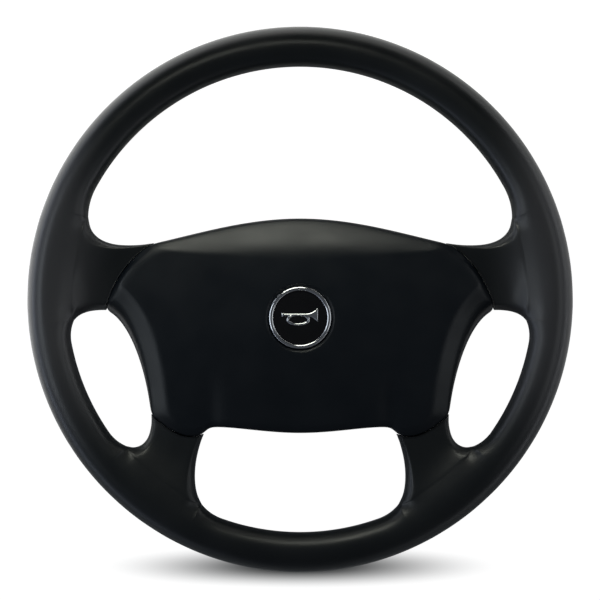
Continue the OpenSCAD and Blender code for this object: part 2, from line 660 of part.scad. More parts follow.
module badge_ring() {
  seat_z = pad_z - badge_seat;
  color("silver") translate([0, badge_y, seat_z + 1]) rotate_extrude() polygon([
    [badge_d / 2 - ring_w, 0], [badge_d / 2, 0], [badge_d / 2, 1.2], [badge_d / 2 - 0.8, 2],
    [badge_d / 2 - ring_w + 0.8, 2], [badge_d / 2 - ring_w, 1.2]
  ]);
}

grip();
armature();
hub_boss();
rear_cover();
cover_screws();
slip_ring_carrier();
slip_ring();
slip_ring_screws();
horn_wire();
contact_base();
fixed_contact();
guide_screws();
guide_bush(0);  // guide_bush_1
guide_bush(1);  // guide_bush_2
guide_bush(2);  // guide_bush_3
guide_bush(3);  // guide_bush_4
horn_spring(0);  // horn_spring_1
horn_spring(1);  // horn_spring_2
horn_spring(2);  // horn_spring_3
horn_spring(3);  // horn_spring_4
pad_frame();
moving_contact();
contact_rivets();
pad_screws();
horn_pad();
badge_disc();
badge_ring();
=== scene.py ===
# Dresses the four-spoke steering wheel for rendering, laid out as an add-on.
# The wheel lies face up: the driver is at +Z and the top of the rim at +Y. Shapes are worked out
# in millimetres, as in the part's source, and turned into metres when a mesh is made.
import json
import math

import bmesh
import bpy
import numpy as np
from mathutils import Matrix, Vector


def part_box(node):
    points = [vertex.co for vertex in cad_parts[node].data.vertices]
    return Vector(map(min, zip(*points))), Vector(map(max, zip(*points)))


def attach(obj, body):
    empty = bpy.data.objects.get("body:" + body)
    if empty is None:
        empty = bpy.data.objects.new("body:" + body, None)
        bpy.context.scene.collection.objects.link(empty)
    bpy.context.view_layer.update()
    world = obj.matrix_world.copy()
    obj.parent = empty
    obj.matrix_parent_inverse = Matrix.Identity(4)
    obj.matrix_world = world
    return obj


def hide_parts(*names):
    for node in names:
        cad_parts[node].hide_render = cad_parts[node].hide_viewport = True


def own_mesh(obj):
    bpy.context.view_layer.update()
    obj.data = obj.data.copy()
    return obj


bl_info = {
    "name": "Four-spoke steering wheel",
    "version": (1, 0, 0),
    "blender": (4, 5, 0),
    "location": "View3D > Sidebar > Wheel",
    "description": "Builds a moulded steering wheel with a floating horn pad, and a plain studio round it",
    "category": "Object",
}

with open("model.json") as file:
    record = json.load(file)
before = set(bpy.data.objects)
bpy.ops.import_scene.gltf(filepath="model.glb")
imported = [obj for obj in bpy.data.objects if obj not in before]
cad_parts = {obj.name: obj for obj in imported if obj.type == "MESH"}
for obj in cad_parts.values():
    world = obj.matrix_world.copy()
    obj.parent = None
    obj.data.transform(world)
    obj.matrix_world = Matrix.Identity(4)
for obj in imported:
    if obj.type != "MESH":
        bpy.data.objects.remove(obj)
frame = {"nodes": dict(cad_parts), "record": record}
WHEEL = "wheel"
PAD = "pad"
# Metres in a millimetre, and the distance in metres within which points merge
MM = 0.001
WELD = 0.00001

# Curves in plan for the right half, in millimetres: start, two handles, end
PAD_EDGES = [
    [[0, 66.9], [45, 66.9], [85, 54], [121, 46]],
    [[121, 46], [136, 40], [157, 13], [161, -9]],
    [[161, -9], [141, -17], [127, -58], [123, -95]],
    [[123, -95], [112, -104], [96, -118], [80, -111]],
    [[80, -111], [78.5, -109], [77, -106.5], [74, -105.6]],
    [[74, -105.6], [60, -103.5], [30, -110], [0, -110]],
]
PAD_CREASES = [
    [[0, 42], [40, 42], [80, 42], [114, 43.5]],
    [[114, 43.5], [126, 41], [146, 24], [149, 11.5]],
    [[149, 11.5], [121, -8], [113, -50], [108.9, -94]],
    [[108.9, -94], [104, -101], [94, -110], [82, -106.5]],
    [[82, -106.5], [80, -105], [78, -103], [75, -102]],
    [[75, -102], [60, -100], [30, -106], [0, -106]],
]
# Edges that lie along a spoke, and the free side edge between them, whose round swells towards its top
SEAM_EDGES = (1, 3)
SIDE_EDGE = 2
SIDE_SWELL = 4.2
SIDE_PACE = 1.4
# For each edge: times the set softness of its crease, and points along it
CREASE_SOFT = (3.0, 2.2, 1.0, 1.0, 1.0, 1.0)
PAD_STEPS = (30, 22, 34, 18, 4, 24)
PAD_MIDDLE = np.array([0.0, -25.0])
PAD_HALF = (150.0, 85.0)
# Depth of the badge's seat below the front, and the gap round the badge
BADGE_SEAT = 2.2
BADGE_GAP = 0.3
# Height of the foot of the bosses inside the pad, and shares of their height: a web's, and its middle's
BOSS_FOOT = 53.6
WEB_HEIGHT = 0.45
WEB_MIDDLE = 0.76
# Angles round the rim where a corner of an opening starts and where the spoke's edge leaves it
START_A = (29.0, -34.5)
LEAVE_A = (21.1, -40.3)
LEAVE_B = (-5.3, -64.3)
START_B = (-11.0, -70.5)
# Handles of each spoke's upper and lower edge: the first from the edge's start, the second in plan
HANDS = [
    [[-0.9, -18.5], [158, 41], [-3.5, 5], [177, -8.6]],
    [[-8.8, -3.3], [122, -120], [8.4, 12.3], [88.5, -132]],
]
# How far, and how steeply, the rim's inner side moves in at an opening's corner
CORNER_IN = 4.6
CORNER_PACE = 2.2
# Share of a spoke's fall that lies in the rim, and the pace of the rest
RIM_SHARE = 0.35
ROW_PACE = 1.6
# Share of a spoke's width that its side round takes, at the rim and the seam, and its step below the pad
ROUND_RIM = 0.19
ROUND_SEAM = 0.10
BELOW_PAD = 0.3
# Degrees over which heights are averaged where a spoke's round starts
BLEND = 2.4
BLEND_STEPS = (-1, -0.5, 0, 0.5, 1)
BLEND_WEIGHTS = (1, 2, 3, 2, 1)
# Places of the guide screws and of the pad's bosses, and angles of the rear cover's bosses
GUIDES = [(54, 8), (-54, 8), (39, -40), (-39, -40)]
PAD_BOSSES = [(66, 20), (-66, 20), (28, -60), (-28, -60)]
COVER_BOSS_ANGLES = (90, 200, 340)


# Settings
def length_setting(name, description, default):
    return bpy.props.FloatProperty(name=name, description=description, default=default, unit="LENGTH")


def level_setting(name, description, default):
    return bpy.props.FloatProperty(name=name, description=description, default=default)


def colour_setting(name, description, default):
    return bpy.props.FloatVectorProperty(
        name=name, description=description, default=(*default, 1), subtype="COLOR", size=4)


class WheelSizes(bpy.types.PropertyGroup):
    rim_d: length_setting("Rim diameter", "Outer diameter of the rim", 0.450)
    rim_w: length_setting("Rim width", "Width of the rim section", 0.033)
    rim_h: length_setting("Rim depth", "Depth of the rim section", 0.034)
    dish: length_setting("Dish", "Height of the rim's middle plane", 0.075)
    stub_h: length_setting("Spoke end", "Thickness of a spoke at the seam", 0.026)
    pad_z: length_setting("Pad height", "Height of the pad's front", 0.088)
    pad_wall: length_setting("Pad wall", "Wall of the pad shell", 0.003)
    seam_gap: length_setting("Seam gap", "Gap between the pad and a spoke", 0.0006)
    edge_r: length_setting("Pad edge radius", "Round of the pad's outer edge", 0.004)
    seam_edge_r: length_setting("Seam edge radius", "Round of the pad's edge along a seam", 0.0012)
    crease: length_setting("Crease softness", "Height over which front and bevel blend", 0.0012)
    badge_y: length_setting("Badge place", "Centre of the badge above the axis", -0.015)
    badge_d: length_setting("Badge diameter", "Outer diameter of the chrome ring", 0.051)
    badge_ring: length_setting("Badge ring", "Width of the chrome ring", 0.0032)
    bevel_slope: level_setting("Bevel slope", "Fall of the pad's bevels for each unit of width", 0.42)
    crown: bpy.props.FloatVectorProperty(
        name="Crown", description="Fall of the pad's front to its sides and to its top",
        size=2, default=(0.0055, 0.0035), unit="LENGTH")
    spring_r: length_setting("Spring radius", "Mean radius of a horn spring", 0.0064)
    spring_wire: length_setting("Spring wire", "Diameter of the spring wire", 0.0011)
    spring_turns: bpy.props.IntProperty(
        name="Spring turns", description="Working turns of a horn spring", default=4)


class WheelColours(bpy.types.PropertyGroup):
    grip: colour_setting("Grip", "Colour of the moulded grip", (0.0090, 0.0110, 0.0125))
    # Painted light: a lighter grey for the grip's left and right, where the sides are lit more
    painted_side_light: colour_setting("Painted side light", "Lighter colour painted on the grip's sides as light", (0.050, 0.050, 0.055))
    pad: colour_setting("Pad", "Colour of the horn pad", (0.0024, 0.0050, 0.0088))
    cover: colour_setting("Cover", "Colour of the rear cover", (0.018, 0.018, 0.020))
    badge: colour_setting("Badge", "Colour of the badge's disc", (0.006, 0.006, 0.007))
    chrome: colour_setting("Chrome", "Colour of the chrome", (0.86, 0.87, 0.89))


class WheelStudio(bpy.types.PropertyGroup):
    overhead: level_setting("Overhead", "Brightness of the room above", 0.058)
    horizon_top: level_setting("Far wall", "Brightness of the room beyond the top of the rim", 1.8)
    horizon_left: level_setting("Left wall", "Brightness of the room at the left", 2.7)
    horizon_right: level_setting("Right wall", "Brightness of the room at the right", 1.9)
    box_top: level_setting("Top softbox", "Brightness of the softbox beyond the top", 6.4)
    box_left: level_setting("Left softbox", "Brightness of the softbox at the left", 1.75)
    box_right: level_setting("Right softbox", "Brightness of the softbox at the right", 0.7)


def sizes():
    return bpy.context.scene.wheel_sizes


def mm(length):
    """A setting in metres as millimetres."""
    return length / MM


# Small helpers for points in millimetres
def unit(v):
    return v / np.maximum(np.linalg.norm(v, axis=-1, keepdims=True), 1e-12)


def ease(t):
    return t * t * (3 - 2 * t)


def early(t):
    """From 0 to 1, level at both ends and steepest after a third of the way."""
    return 1 - (1 - t) ** 3 * (1 + 3 * t)


def mix(a, b, t):
    return a * (1 - t) + b * t


def cubic(p, t):
    p = np.asarray(p, float)
    t = np.asarray(t, float)[..., None]
    return p[0] * (1 - t) ** 3 + p[1] * 3 * t * (1 - t) ** 2 + p[2] * 3 * t * t * (1 - t) + p[3] * t ** 3


def cubic_way(p, t):
    p = np.asarray(p, float)
    t = np.asarray(t, float)[..., None]
    return (p[1] - p[0]) * (1 - t) ** 2 + (p[2] - p[1]) * 2 * t * (1 - t) + (p[3] - p[2]) * t * t


def outward(p, t):
    d = unit(cubic_way(p, t))
    return np.stack([-d[..., 1], d[..., 0]], axis=-1)


def polar(r, degrees):
    a = math.radians(degrees)
    return np.array([r * math.cos(a), r * math.sin(a)])


def smooth_min(a, b, k):
    h = np.maximum(k - np.abs(a - b), 0) / k
    return np.minimum(a, b) - h * h * k / 4


# Meshes
def add_object(name, data):
    """A new object in the scene, at the origin."""
    obj = bpy.data.objects.new(name, data)
    bpy.context.scene.collection.objects.link(obj)
    return obj


def raw_mesh(name, points, faces=()):
    """A mesh of these points, given in millimetres."""
    mesh = bpy.data.meshes.new(name)
    mesh.from_pydata([tuple(p) for p in np.asarray(points, float) * MM], [], faces)
    return mesh


def face_out(mesh, weld=False):
    """Turns the faces outwards. Welding first merges doubled points and drops empty faces."""
    bm = bmesh.new()
    bm.from_mesh(mesh)
    if weld:
        bmesh.ops.remove_doubles(bm, verts=bm.verts, dist=WELD)
        bmesh.ops.dissolve_degenerate(bm, dist=WELD / 10, edges=bm.edges)
    bmesh.ops.recalc_face_normals(bm, faces=bm.faces)
    bm.to_mesh(mesh)
    bm.free()


def new_mesh(name, points, faces):
    """An object with a closed smooth mesh, its points given in millimetres."""
    mesh = raw_mesh(name, points, faces)
    face_out(mesh, weld=True)
    mesh.shade_smooth()
    return add_object(name, mesh)


def points_object(name, places):
    return add_object(name, raw_mesh(name, places))


def ring_faces(rings, count, start=0):
    """Quads between neighbouring closed rings of count points each."""
    faces = []
    for i in range(rings - 1):
        for j in range(count):
            a = start + i * count + j
            b = start + i * count + (j + 1) % count
            faces.append((a, b, b + count, a + count))
    return faces


def finish_mesh(obj):
    """Turns an object with modifiers into a plain mesh."""
    depsgraph = bpy.context.evaluated_depsgraph_get()
    mesh = bpy.data.meshes.new_from_object(obj.evaluated_get(depsgraph))
    obj.modifiers.clear()
    obj.data = mesh


def dress(obj, slot):
    """Gives an object the material of its slot."""
    obj.data.materials.clear()
    obj.data.materials.append(materials()[slot])


def settle(obj, body, slot, node):
    """Gives a finished piece its material and its body, and hides the CAD node that it stands for."""
    dress(obj, slot)
    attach(obj, body)
    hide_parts(node)


# Node trees
class Nodes:
    """Short ways to add nodes to a tree of any kind and to link them."""

    def __init__(self, tree):
        self.nodes = tree.nodes
        self.links = tree.links

    def node(self, kind, links=(), **values):
        """Adds a node. Each input that is named gets a link from a socket, or a constant."""
        made = self.nodes.new(kind)
        for key, value in values.items():
            setattr(made, key, value)
        for key, source in dict(links).items():
            if isinstance(source, bpy.types.NodeSocket):
                self.links.new(source, made.inputs[key])
            else:
                made.inputs[key].default_value = source
        return made

    def maths(self, operation, a, b=0.0):
        return self.node("ShaderNodeMath", {0: a, 1: b}, operation=operation).outputs[0]

    def span(self, source, start, end, low, high, kind="LINEAR"):
        """Runs from low to high while the source runs from start to end."""
        limits = {"Value": source, "From Min": start, "From Max": end, "To Min": low, "To Max": high}
        return self.node("ShaderNodeMapRange", limits, interpolation_type=kind).outputs["Result"]

    def fade(self, source, start, end, low=0.0, high=1.0):
        return self.span(source, start, end, low, high, "SMOOTHSTEP")

    def vector(self, x=0.0, y=0.0, z=0.0):
        return self.node("ShaderNodeCombineXYZ", {0: x, 1: y, 2: z}).outputs[0]

    def parts(self, vector):
        return self.node("ShaderNodeSeparateXYZ", {0: vector}).outputs

    def distance(self, vector):
        return self.node("ShaderNodeVectorMath", {0: vector}, operation="LENGTH").outputs["Value"]

    def scaled(self, vector, scale):
        return self.node("ShaderNodeVectorMath", {0: vector, "Scale": scale}, operation="SCALE").outputs[0]

    def either(self, choice, first, second):
        return self.node("ShaderNodeMixShader", {0: choice, 1: first, 2: second}).outputs[0]


class Tree(Nodes):
    """A Geometry Nodes tree with named inputs. It ends in Realize Instances and Set Material."""

    def __init__(self, name, inputs):
        self.group = bpy.data.node_groups.new(name, "GeometryNodeTree")
        super().__init__(self.group)
        face = self.group.interface
        face.new_socket(name="Geometry", in_out="INPUT", socket_type="NodeSocketGeometry")
        for label, value in inputs.items():
            kind = "NodeSocketVector" if isinstance(value, tuple) else "NodeSocketFloat"
            face.new_socket(name=label, in_out="INPUT", socket_type=kind).default_value = value
        face.new_socket(name="Geometry", in_out="OUTPUT", socket_type="NodeSocketGeometry")
        self.inputs = self.node("NodeGroupInput").outputs

    def circle(self, resolution, radius):
        size = {"Resolution": resolution, "Radius": radius}
        return self.node("GeometryNodeCurvePrimitiveCircle", size).outputs[0]

    def join(self, *parts):
        made = self.node("GeometryNodeJoinGeometry")
        for part in parts:
            self.links.new(part, made.inputs[0])
        return made.outputs[0]

    def moved(self, geometry, **how):
        return self.node("GeometryNodeTransform", {"Geometry": geometry, **how}).outputs[0]

    def placed(self, geometry, position):
        return self.node("GeometryNodeSetPosition", {"Geometry": geometry, "Position": position}).outputs[0]

    def swept(self, path, profile, caps=False):
        ends = {"Curve": path, "Profile Curve": profile, "Fill Caps": caps}
        return self.node("GeometryNodeCurveToMesh", ends).outputs[0]

    def at_points(self, piece):
        places = {"Points": self.inputs[0], "Instance": piece}
        return self.node("GeometryNodeInstanceOnPoints", places).outputs[0]

    def end(self, geometry, slot):
        real = self.node("GeometryNodeRealizeInstances", {"Geometry": geometry}).outputs[0]
        smooth = self.node("GeometryNodeSetShadeSmooth", {"Geometry": real}).outputs[0]
        paint = {"Geometry": smooth, "Material": materials()[slot]}
        self.node("NodeGroupOutput", {"Geometry": self.node("GeometryNodeSetMaterial", paint).outputs[0]})

    def grow(self, obj, values):
        """Runs the tree on an object with these inputs and leaves a plain mesh."""
        modifier = obj.modifiers.new("Tree", "NODES")
        modifier.node_group = self.group
        for item in self.group.interface.items_tree:
            if item.item_type == "SOCKET" and item.in_out == "INPUT" and item.name in values:
                modifier[item.identifier] = values[item.name]
        finish_mesh(obj)


# Materials: every surface has its own grain, bump and change of roughness
# Painted light: the grip's colour is lighter at its left and right, where the sides are lit more. Distances
# in metres, sideways and up, over which it fades
PAINTED_LIGHT_SIDE = (0.148, 0.205)
PAINTED_LIGHT_MIDDLE = 0.030
PAINTED_LIGHT_UP = (0.050, 0.220)
PLASTIC_IOR = 1.5
# The part of a noise's range that is spread over the whole change of colour or roughness
NOISE_MIDDLE = (0.3, 0.7)


class Paint(Nodes):
    """A procedural material that takes its grain from object coordinates."""

    def __init__(self, name, colour, roughness, metallic=0.0):
        self.material = bpy.data.materials.new(name)
        self.material.use_nodes = True
        super().__init__(self.material.node_tree)
        self.shader = self.nodes["Principled BSDF"]
        self.shader.inputs["Metallic"].default_value = metallic
        self.shader.inputs["IOR"].default_value = PLASTIC_IOR
        self.place = self.node("ShaderNodeTexCoord").outputs["Object"]
        self.colour = colour
        self.roughness = roughness

    def noise(self, per_metre, detail=2.0, stretch=None):
        place = self.place
        if stretch:
            place = self.node("ShaderNodeMapping", {"Vector": place, "Scale": stretch}).outputs[0]
        grain = {"Vector": place, "Scale": per_metre, "Detail": detail}
        return self.node("ShaderNodeTexNoise", grain).outputs["Fac"]

    def cells(self, per_metre):
        grain = {"Vector": self.place, "Scale": per_metre}
        return self.node("ShaderNodeTexVoronoi", grain).outputs["Distance"]

    def swing(self, source, middle, share):
        """A value that a noise moves by a share to each side of its middle."""
        return self.span(source, *NOISE_MIDDLE, middle * (1 - share), middle * (1 + share))

    def painted_light_mask(self):
        """1 at the rim's left and right, where light is painted on, and 0 elsewhere."""
        x, y, _ = self.parts(self.place)
        side = self.fade(self.maths("ABSOLUTE", x), *PAINTED_LIGHT_SIDE)
        up = self.maths("ABSOLUTE", self.maths("SUBTRACT", y, PAINTED_LIGHT_MIDDLE))
        return self.maths("MULTIPLY", side, self.fade(up, *PAINTED_LIGHT_UP, 1.0, 0.0))

    def bump(self, source, height, strength, after=None):
        made = self.node("ShaderNodeBump", {"Height": source, "Distance": height, "Strength": strength})
        if after is not None:
            self.links.new(after, made.inputs["Normal"])
        return made.outputs["Normal"]

    def finish(self, tone_source, tone_change, rough_source, rough_change, normal, painted_side_light=None):
        """Colour and roughness each swing by a share round their middle value."""
        colour = self.scaled(self.colour[:3], self.swing(tone_source, 1, tone_change))
        # At the rim's sides a lighter colour is mixed in: painted light, where the sides are lit more
        if painted_side_light:
            both = {"Factor": self.painted_light_mask(), "A": colour, "B": painted_side_light}
            colour = self.node("ShaderNodeMix", both, data_type="RGBA").outputs["Result"]
        rough = self.swing(rough_source, self.roughness, rough_change)
        for key, source in (("Base Color", colour), ("Roughness", rough), ("Normal", normal)):
            self.links.new(source, self.shader.inputs[key])
        return self.material


def moulded(name, colour, roughness, grain_per_metre, grain_height, wear=0.10, painted_side_light=None):
    """Moulded skin: a fine pebble grain over a faint large unevenness. The grain's height is in metres."""
    paint = Paint(name, colour, roughness)
    pebble = paint.cells(grain_per_metre)
    fine = paint.noise(grain_per_metre * 1.7)
    broad = paint.noise(9)
    normal = paint.bump(pebble, grain_height, 0.55)
    normal = paint.bump(fine, grain_height * 0.6, 0.4, normal)
    normal = paint.bump(broad, 0.0006, 0.25, normal)
    return paint.finish(broad, wear, paint.noise(35, 3), 0.10, normal, painted_side_light)


def metal(name, colour, roughness, grain_per_metre, grain_height, stretch=None):
    """Metal with a fine grain. Where it is stretched, it looks brushed along one axis."""
    paint = Paint(name, colour, roughness, metallic=1.0)
    grain = paint.noise(grain_per_metre, 4, stretch)
    return paint.finish(paint.noise(60), 0.08, grain, 0.18, paint.bump(grain, grain_height, 0.6))


LOOKS = {}


def materials():
    """All materials by the record's slots, made once: roughness, grains in a metre and their height."""
    if LOOKS:
        return LOOKS
    colours = bpy.context.scene.wheel_colours
    # The grip gets painted light: a lighter colour at its left and right
    LOOKS["grip_urethane"] = moulded("grip skin", colours.grip, 0.36, 1300, 0.00004, painted_side_light=colours.painted_side_light)
    LOOKS["pad_plastic"] = moulded("pad skin", colours.pad, 0.37, 1500, 0.00004)
    LOOKS["cover_plastic"] = moulded("cover skin", colours.cover, 0.48, 1100, 0.00006)
    gloss = Paint("badge gloss", colours.badge, 0.12)
    LOOKS["badge_black"] = gloss.finish(
        gloss.noise(80), 0.1, gloss.noise(300), 0.25, gloss.bump(gloss.noise(500), 0.000004, 0.4))
    chrome = Paint("chrome", colours.chrome, 0.11, metallic=1.0)
    LOOKS["badge_chrome"] = chrome.finish(
        chrome.noise(50), 0.05, chrome.noise(400, 3), 0.3, chrome.bump(chrome.noise(600), 0.000005, 0.4))
    LOOKS["cast_metal"] = metal("cast alloy", (0.46, 0.47, 0.48, 1), 0.52, 700, 0.00012)
    LOOKS["steel"] = metal("zinc plated", (0.50, 0.51, 0.53, 1), 0.34, 900, 0.00002, (1, 1, 0.15))
    LOOKS["spring_steel"] = metal("spring wire", (0.30, 0.31, 0.33, 1), 0.36, 1200, 0.00002)
    LOOKS["brass"] = metal("stamped brass", (0.70, 0.50, 0.22, 1), 0.30, 800, 0.00002, (1, 0.2, 1))
    LOOKS["nylon"] = moulded("natural nylon", (0.72, 0.69, 0.58, 1), 0.50, 900, 0.00004, 0.04)
    LOOKS["wire_red"] = moulded("lead sleeve", (0.30, 0.02, 0.02, 1), 0.45, 1500, 0.00004)
    return LOOKS


# The grip: rim and four spoke ends as one moulding
def corner_fall(a, start, leave):
    """How far the rim's inner side has moved in, between a corner's start and the spoke's edge."""
    return CORNER_IN * min(1, max(0, (a - start) / (leave - start))) ** CORNER_PACE


def rim_inner(inner, a):
    """Radius of the rim's inner side at an angle. It is smaller where a spoke joins."""
    falls = []
    for k in (0, 1):
        upper = corner_fall(a, START_A[k], LEAVE_A[k])
        lower = corner_fall(a, START_B[k], LEAVE_B[k])
        falls.append(min(upper, lower))
    return inner - max(falls)


class PadFront:
    """The pad's front as a height over the plan, in millimetres. A shallow valley runs down at each side."""
    valley_depth = 1.6
    valley_x = 74.0
    valley_width = 9.0
    valley_top = -45.0
    valley_run = 45.0

    def __init__(self):
        s = sizes()
        self.top = mm(s.pad_z)
        self.crown = [mm(c) for c in s.crown]
        self.slope = s.bevel_slope

    def height(self, p):
        x = p[..., 0]
        y = p[..., 1]
        fall = self.crown[0] * ((x - PAD_MIDDLE[0]) / PAD_HALF[0]) ** 2
        fall = fall + self.crown[1] * ((y - PAD_MIDDLE[1]) / PAD_HALF[1]) ** 2
        down = ease(np.clip((self.valley_top - y) / self.valley_run, 0, 1))
        valley = self.valley_depth * np.exp(-((np.abs(x) - self.valley_x) / self.valley_width) ** 2) * down
        return self.top - fall - valley

    def edge(self, outline, crease):
        """Height of the outline, where the bevel that starts at the crease would meet it."""
        return self.height(crease) - self.slope * np.linalg.norm(outline - crease, axis=-1)


class Grip:
    """Cage of the grip. Its loops run round the rim's section, and at a spoke out to the seam and back.

    k is 0 for the upper spoke and 1 for the lower one. s runs across a spoke and v from the rim to the seam.
    """
    section = [90 * i / 4 for i in range(5)]
    rows = [i / 7 for i in range(1, 7)] + [0.93, 0.985, 1.0]
    wall_rows = [0.06, 0.94]

    def __init__(self):
        s = sizes()
        self.front = PadFront()
        self.rim_r = mm(s.rim_d) / 2
        self.ring_r = self.rim_r - mm(s.rim_w) / 2
        self.inner_r = self.rim_r - mm(s.rim_w)
        self.corner_r = self.inner_r - CORNER_IN
        self.half_h = mm(s.rim_h) / 2
        self.dish = mm(s.dish)
        self.gap = mm(s.seam_gap)
        self.stub_h = mm(s.stub_h)

    def side_z(self, q, share, fall):
        """Height at q of the way from crest to inner side, at a share of the way across a spoke's round."""
        circle = math.sqrt(1 - (1 - share) ** 2)
        fullness = mix(ease(share), circle, ease(q))
        arch = math.sqrt(1 - (1 - fullness ** 2) * math.sin(math.radians(90 * q)) ** 2)
        drop = fall * early(RIM_SHARE * math.sin(math.radians(90 * q))) * fullness
        return self.dish + self.half_h * arch - drop

    def across(self, a, under):
        """Share of the way across a spoke's round at an angle, and the spoke's whole fall there."""
        for k in (0, 1):
            s = (LEAVE_A[k] - a) / (LEAVE_A[k] - LEAVE_B[k])
            if 0 < s < 1:
                front = self.seam_front(k, s)
                fall = front - self.stub_h - self.dish if under else self.dish - front
                return min(1, min(s, 1 - s) / ROUND_RIM), fall + self.half_h
        return 0, 0

    def blended_z(self, q, a, under=False):
        """Mean height round an angle, so that a spoke grows out of the rim without a crease."""
        reach = BLEND * min(1, 2.5 * (1 - q))
        heights = [self.side_z(q, *self.across(a + step * reach, under)) for step in BLEND_STEPS]
        return float(np.average(heights, weights=BLEND_WEIGHTS))

    def rim_loop(self, a):
        """The rim's section at an angle, from its inner side over the crest and back underneath."""
        r_in = rim_inner(self.inner_r, a)
        half = self.half_h
        loop = []
        for f in self.section:
            r = mix(self.ring_r, r_in, math.cos(math.radians(f)))
            loop.append([*polar(r, a), self.blended_z(1 - f / 90, a)])
        for f in self.section[-2::-1]:
            r = mix(self.ring_r, self.rim_r, math.cos(math.radians(f)))
            loop.append([*polar(r, a), self.dish + half * math.sin(math.radians(f))])
        for f in self.section[1:]:
            r = mix(self.ring_r, self.rim_r, math.cos(math.radians(f)))
            loop.append([*polar(r, a), self.dish - half * math.sin(math.radians(f))])
        for f in self.section[-2::-1]:
            r = mix(self.ring_r, r_in, math.cos(math.radians(f)))
            loop.append([*polar(r, a), 2 * self.dish - self.blended_z(1 - f / 90, a, under=True)])
        return loop

    def seam_point(self, k, t):
        seam = PAD_EDGES[SEAM_EDGES[k]]
        return cubic(seam, t) + outward(seam, t) * self.gap

    def spoke_edge(self, k, which, v):
        leave = (LEAVE_A, LEAVE_B)[which][k]
        start = polar(self.corner_r, leave)
        first = np.array(HANDS[k][2 * which])
        second = np.array(HANDS[k][2 * which + 1])
        return cubic([start, start + first, second, self.seam_point(k, which)], v)

    def rim_point(self, k, s):
        return polar(self.corner_r, mix(LEAVE_A[k], LEAVE_B[k], s))

    def spoke_point(self, k, s, v):
        sides = mix(self.spoke_edge(k, 0, v), self.spoke_edge(k, 1, v), s)
        ends = mix(self.rim_point(k, s), self.seam_point(k, s), v)
        corners = mix(mix(self.spoke_edge(k, 0, 0), self.spoke_edge(k, 1, 0), s),
                      mix(self.spoke_edge(k, 0, 1), self.spoke_edge(k, 1, 1), s), v)
        return sides + ends - corners

    def columns(self):
        """A spoke's columns: share of the side round, share of the flat, and fullness of the height."""
        near = [(1 - math.cos(math.radians(f)), 0, math.sin(math.radians(f))) for f in self.section]
        middle = [(1, share, 1) for share in (0.25, 0.5, 0.75)]
        far = [(c[0], 1, c[2]) for c in near[::-1]]
        return near + middle + far

    def column_at(self, column, v):
        w = mix(ROUND_RIM, ROUND_SEAM, v)
        if column[1] == 0:
            return column[0] * w
        if column[1] == 1:
            return 1 - column[0] * w
        return w + (1 - 2 * w) * column[1]

    def seam_front(self, k, s):
        edge = SEAM_EDGES[k]
        return float(self.front.edge(cubic(PAD_EDGES[edge], s), cubic(PAD_CREASES[edge], s))) - BELOW_PAD

    def spoke_heights(self, k, column, v):
        front = self.seam_front(k, self.column_at(column, v))
        g = early(RIM_SHARE + (1 - RIM_SHARE) * v ** ROW_PACE)
        m = 1 - (1 - column[2]) * (1 - v) ** 2
        top = self.dish + self.half_h - (self.dish + self.half_h - front) * g * m
        low = self.dish - self.half_h - (self.dish - self.half_h - front + self.stub_h) * g * m
        middle = (top + low) / 2
        return middle + (top - middle) * column[2], middle - (middle - low) * column[2]

    def spoke_loop(self, k, column):
        loop = self.rim_loop(mix(LEAVE_A[k], LEAVE_B[k], self.column_at(column, 0)))
        for v in self.rows:
            _, low = self.spoke_heights(k, column, v)
            loop.append([*self.spoke_point(k, self.column_at(column, v), v), low])
        top, low = self.spoke_heights(k, column, 1)
        end = self.spoke_point(k, self.column_at(column, 1), 1)
        for share in self.wall_rows:
            loop.append([*end, mix(low, top, share)])
        for v in self.rows[::-1]:
            top, _ = self.spoke_heights(k, column, v)
            loop.append([*self.spoke_point(k, self.column_at(column, v), v), top])
        return loop

    def plain(self, start, end, steps):
        return [self.rim_loop(mix(start, end, i / steps)) for i in range(steps + 1)]

    def strips(self):
        """Runs of loops from the rim's top down the right side, and their mirror images."""
        right = []
        start = 90
        for k, (steps, corner_steps) in enumerate(((20, 6), (8, 5))):
            right.append(self.plain(start, START_A[k], steps))
            right.append(self.plain(START_A[k], LEAVE_A[k], corner_steps))
            right.append([self.spoke_loop(k, column) for column in self.columns()])
            right.append(self.plain(LEAVE_B[k], START_B[k], 5))
            start = START_B[k]
        right.append(self.plain(start, -90, 7))
        left = [[[[-p[0], p[1], p[2]] for p in loop] for loop in strip] for strip in right]
        return right + left

    def cage(self):
        points = []
        faces = []
        for strip in self.strips():
            faces += ring_faces(len(strip), len(strip[0]), len(points))
            for loop in strip:
                points += loop
        return new_mesh("grip_skin", points, faces)


def limit_points(mesh, places):
    """Where Catmull-Clark subdivision brings each vertex of a quad cage."""
    count = len(mesh.vertices)
    edges = np.array([e.vertices[:] for e in mesh.edges])
    valence = np.zeros(count)
    near = np.zeros((count, 3))
    for a, b in ((0, 1), (1, 0)):
        np.add.at(valence, edges[:, a], 1)
        np.add.at(near, edges[:, a], places[edges[:, b]])
    across = np.zeros((count, 3))
    for polygon in mesh.polygons:
        loop = polygon.vertices[:]
        n = len(loop)
        for i in range(n):
            far = places[loop[(i + 2) % n]]
            if n != 4:
                far = (places[loop[i - 1]] + places[loop[(i + 1) % n]]) / 2
            across[loop[i]] += far
    n = valence[:, None]
    return (n * n * places + 4 * near + across) / (n * (n + 5))


def fit_cage(obj, rounds=2):
    """Moves a cage's vertices until its smooth surface passes through where they were."""
    mesh = obj.data
    aim = np.array([v.co[:] for v in mesh.vertices])
    places = aim.copy()
    for _ in range(rounds):
        places = places + (aim - limit_points(mesh, places))
    mesh.vertices.foreach_set("co", places.ravel())
    mesh.update()


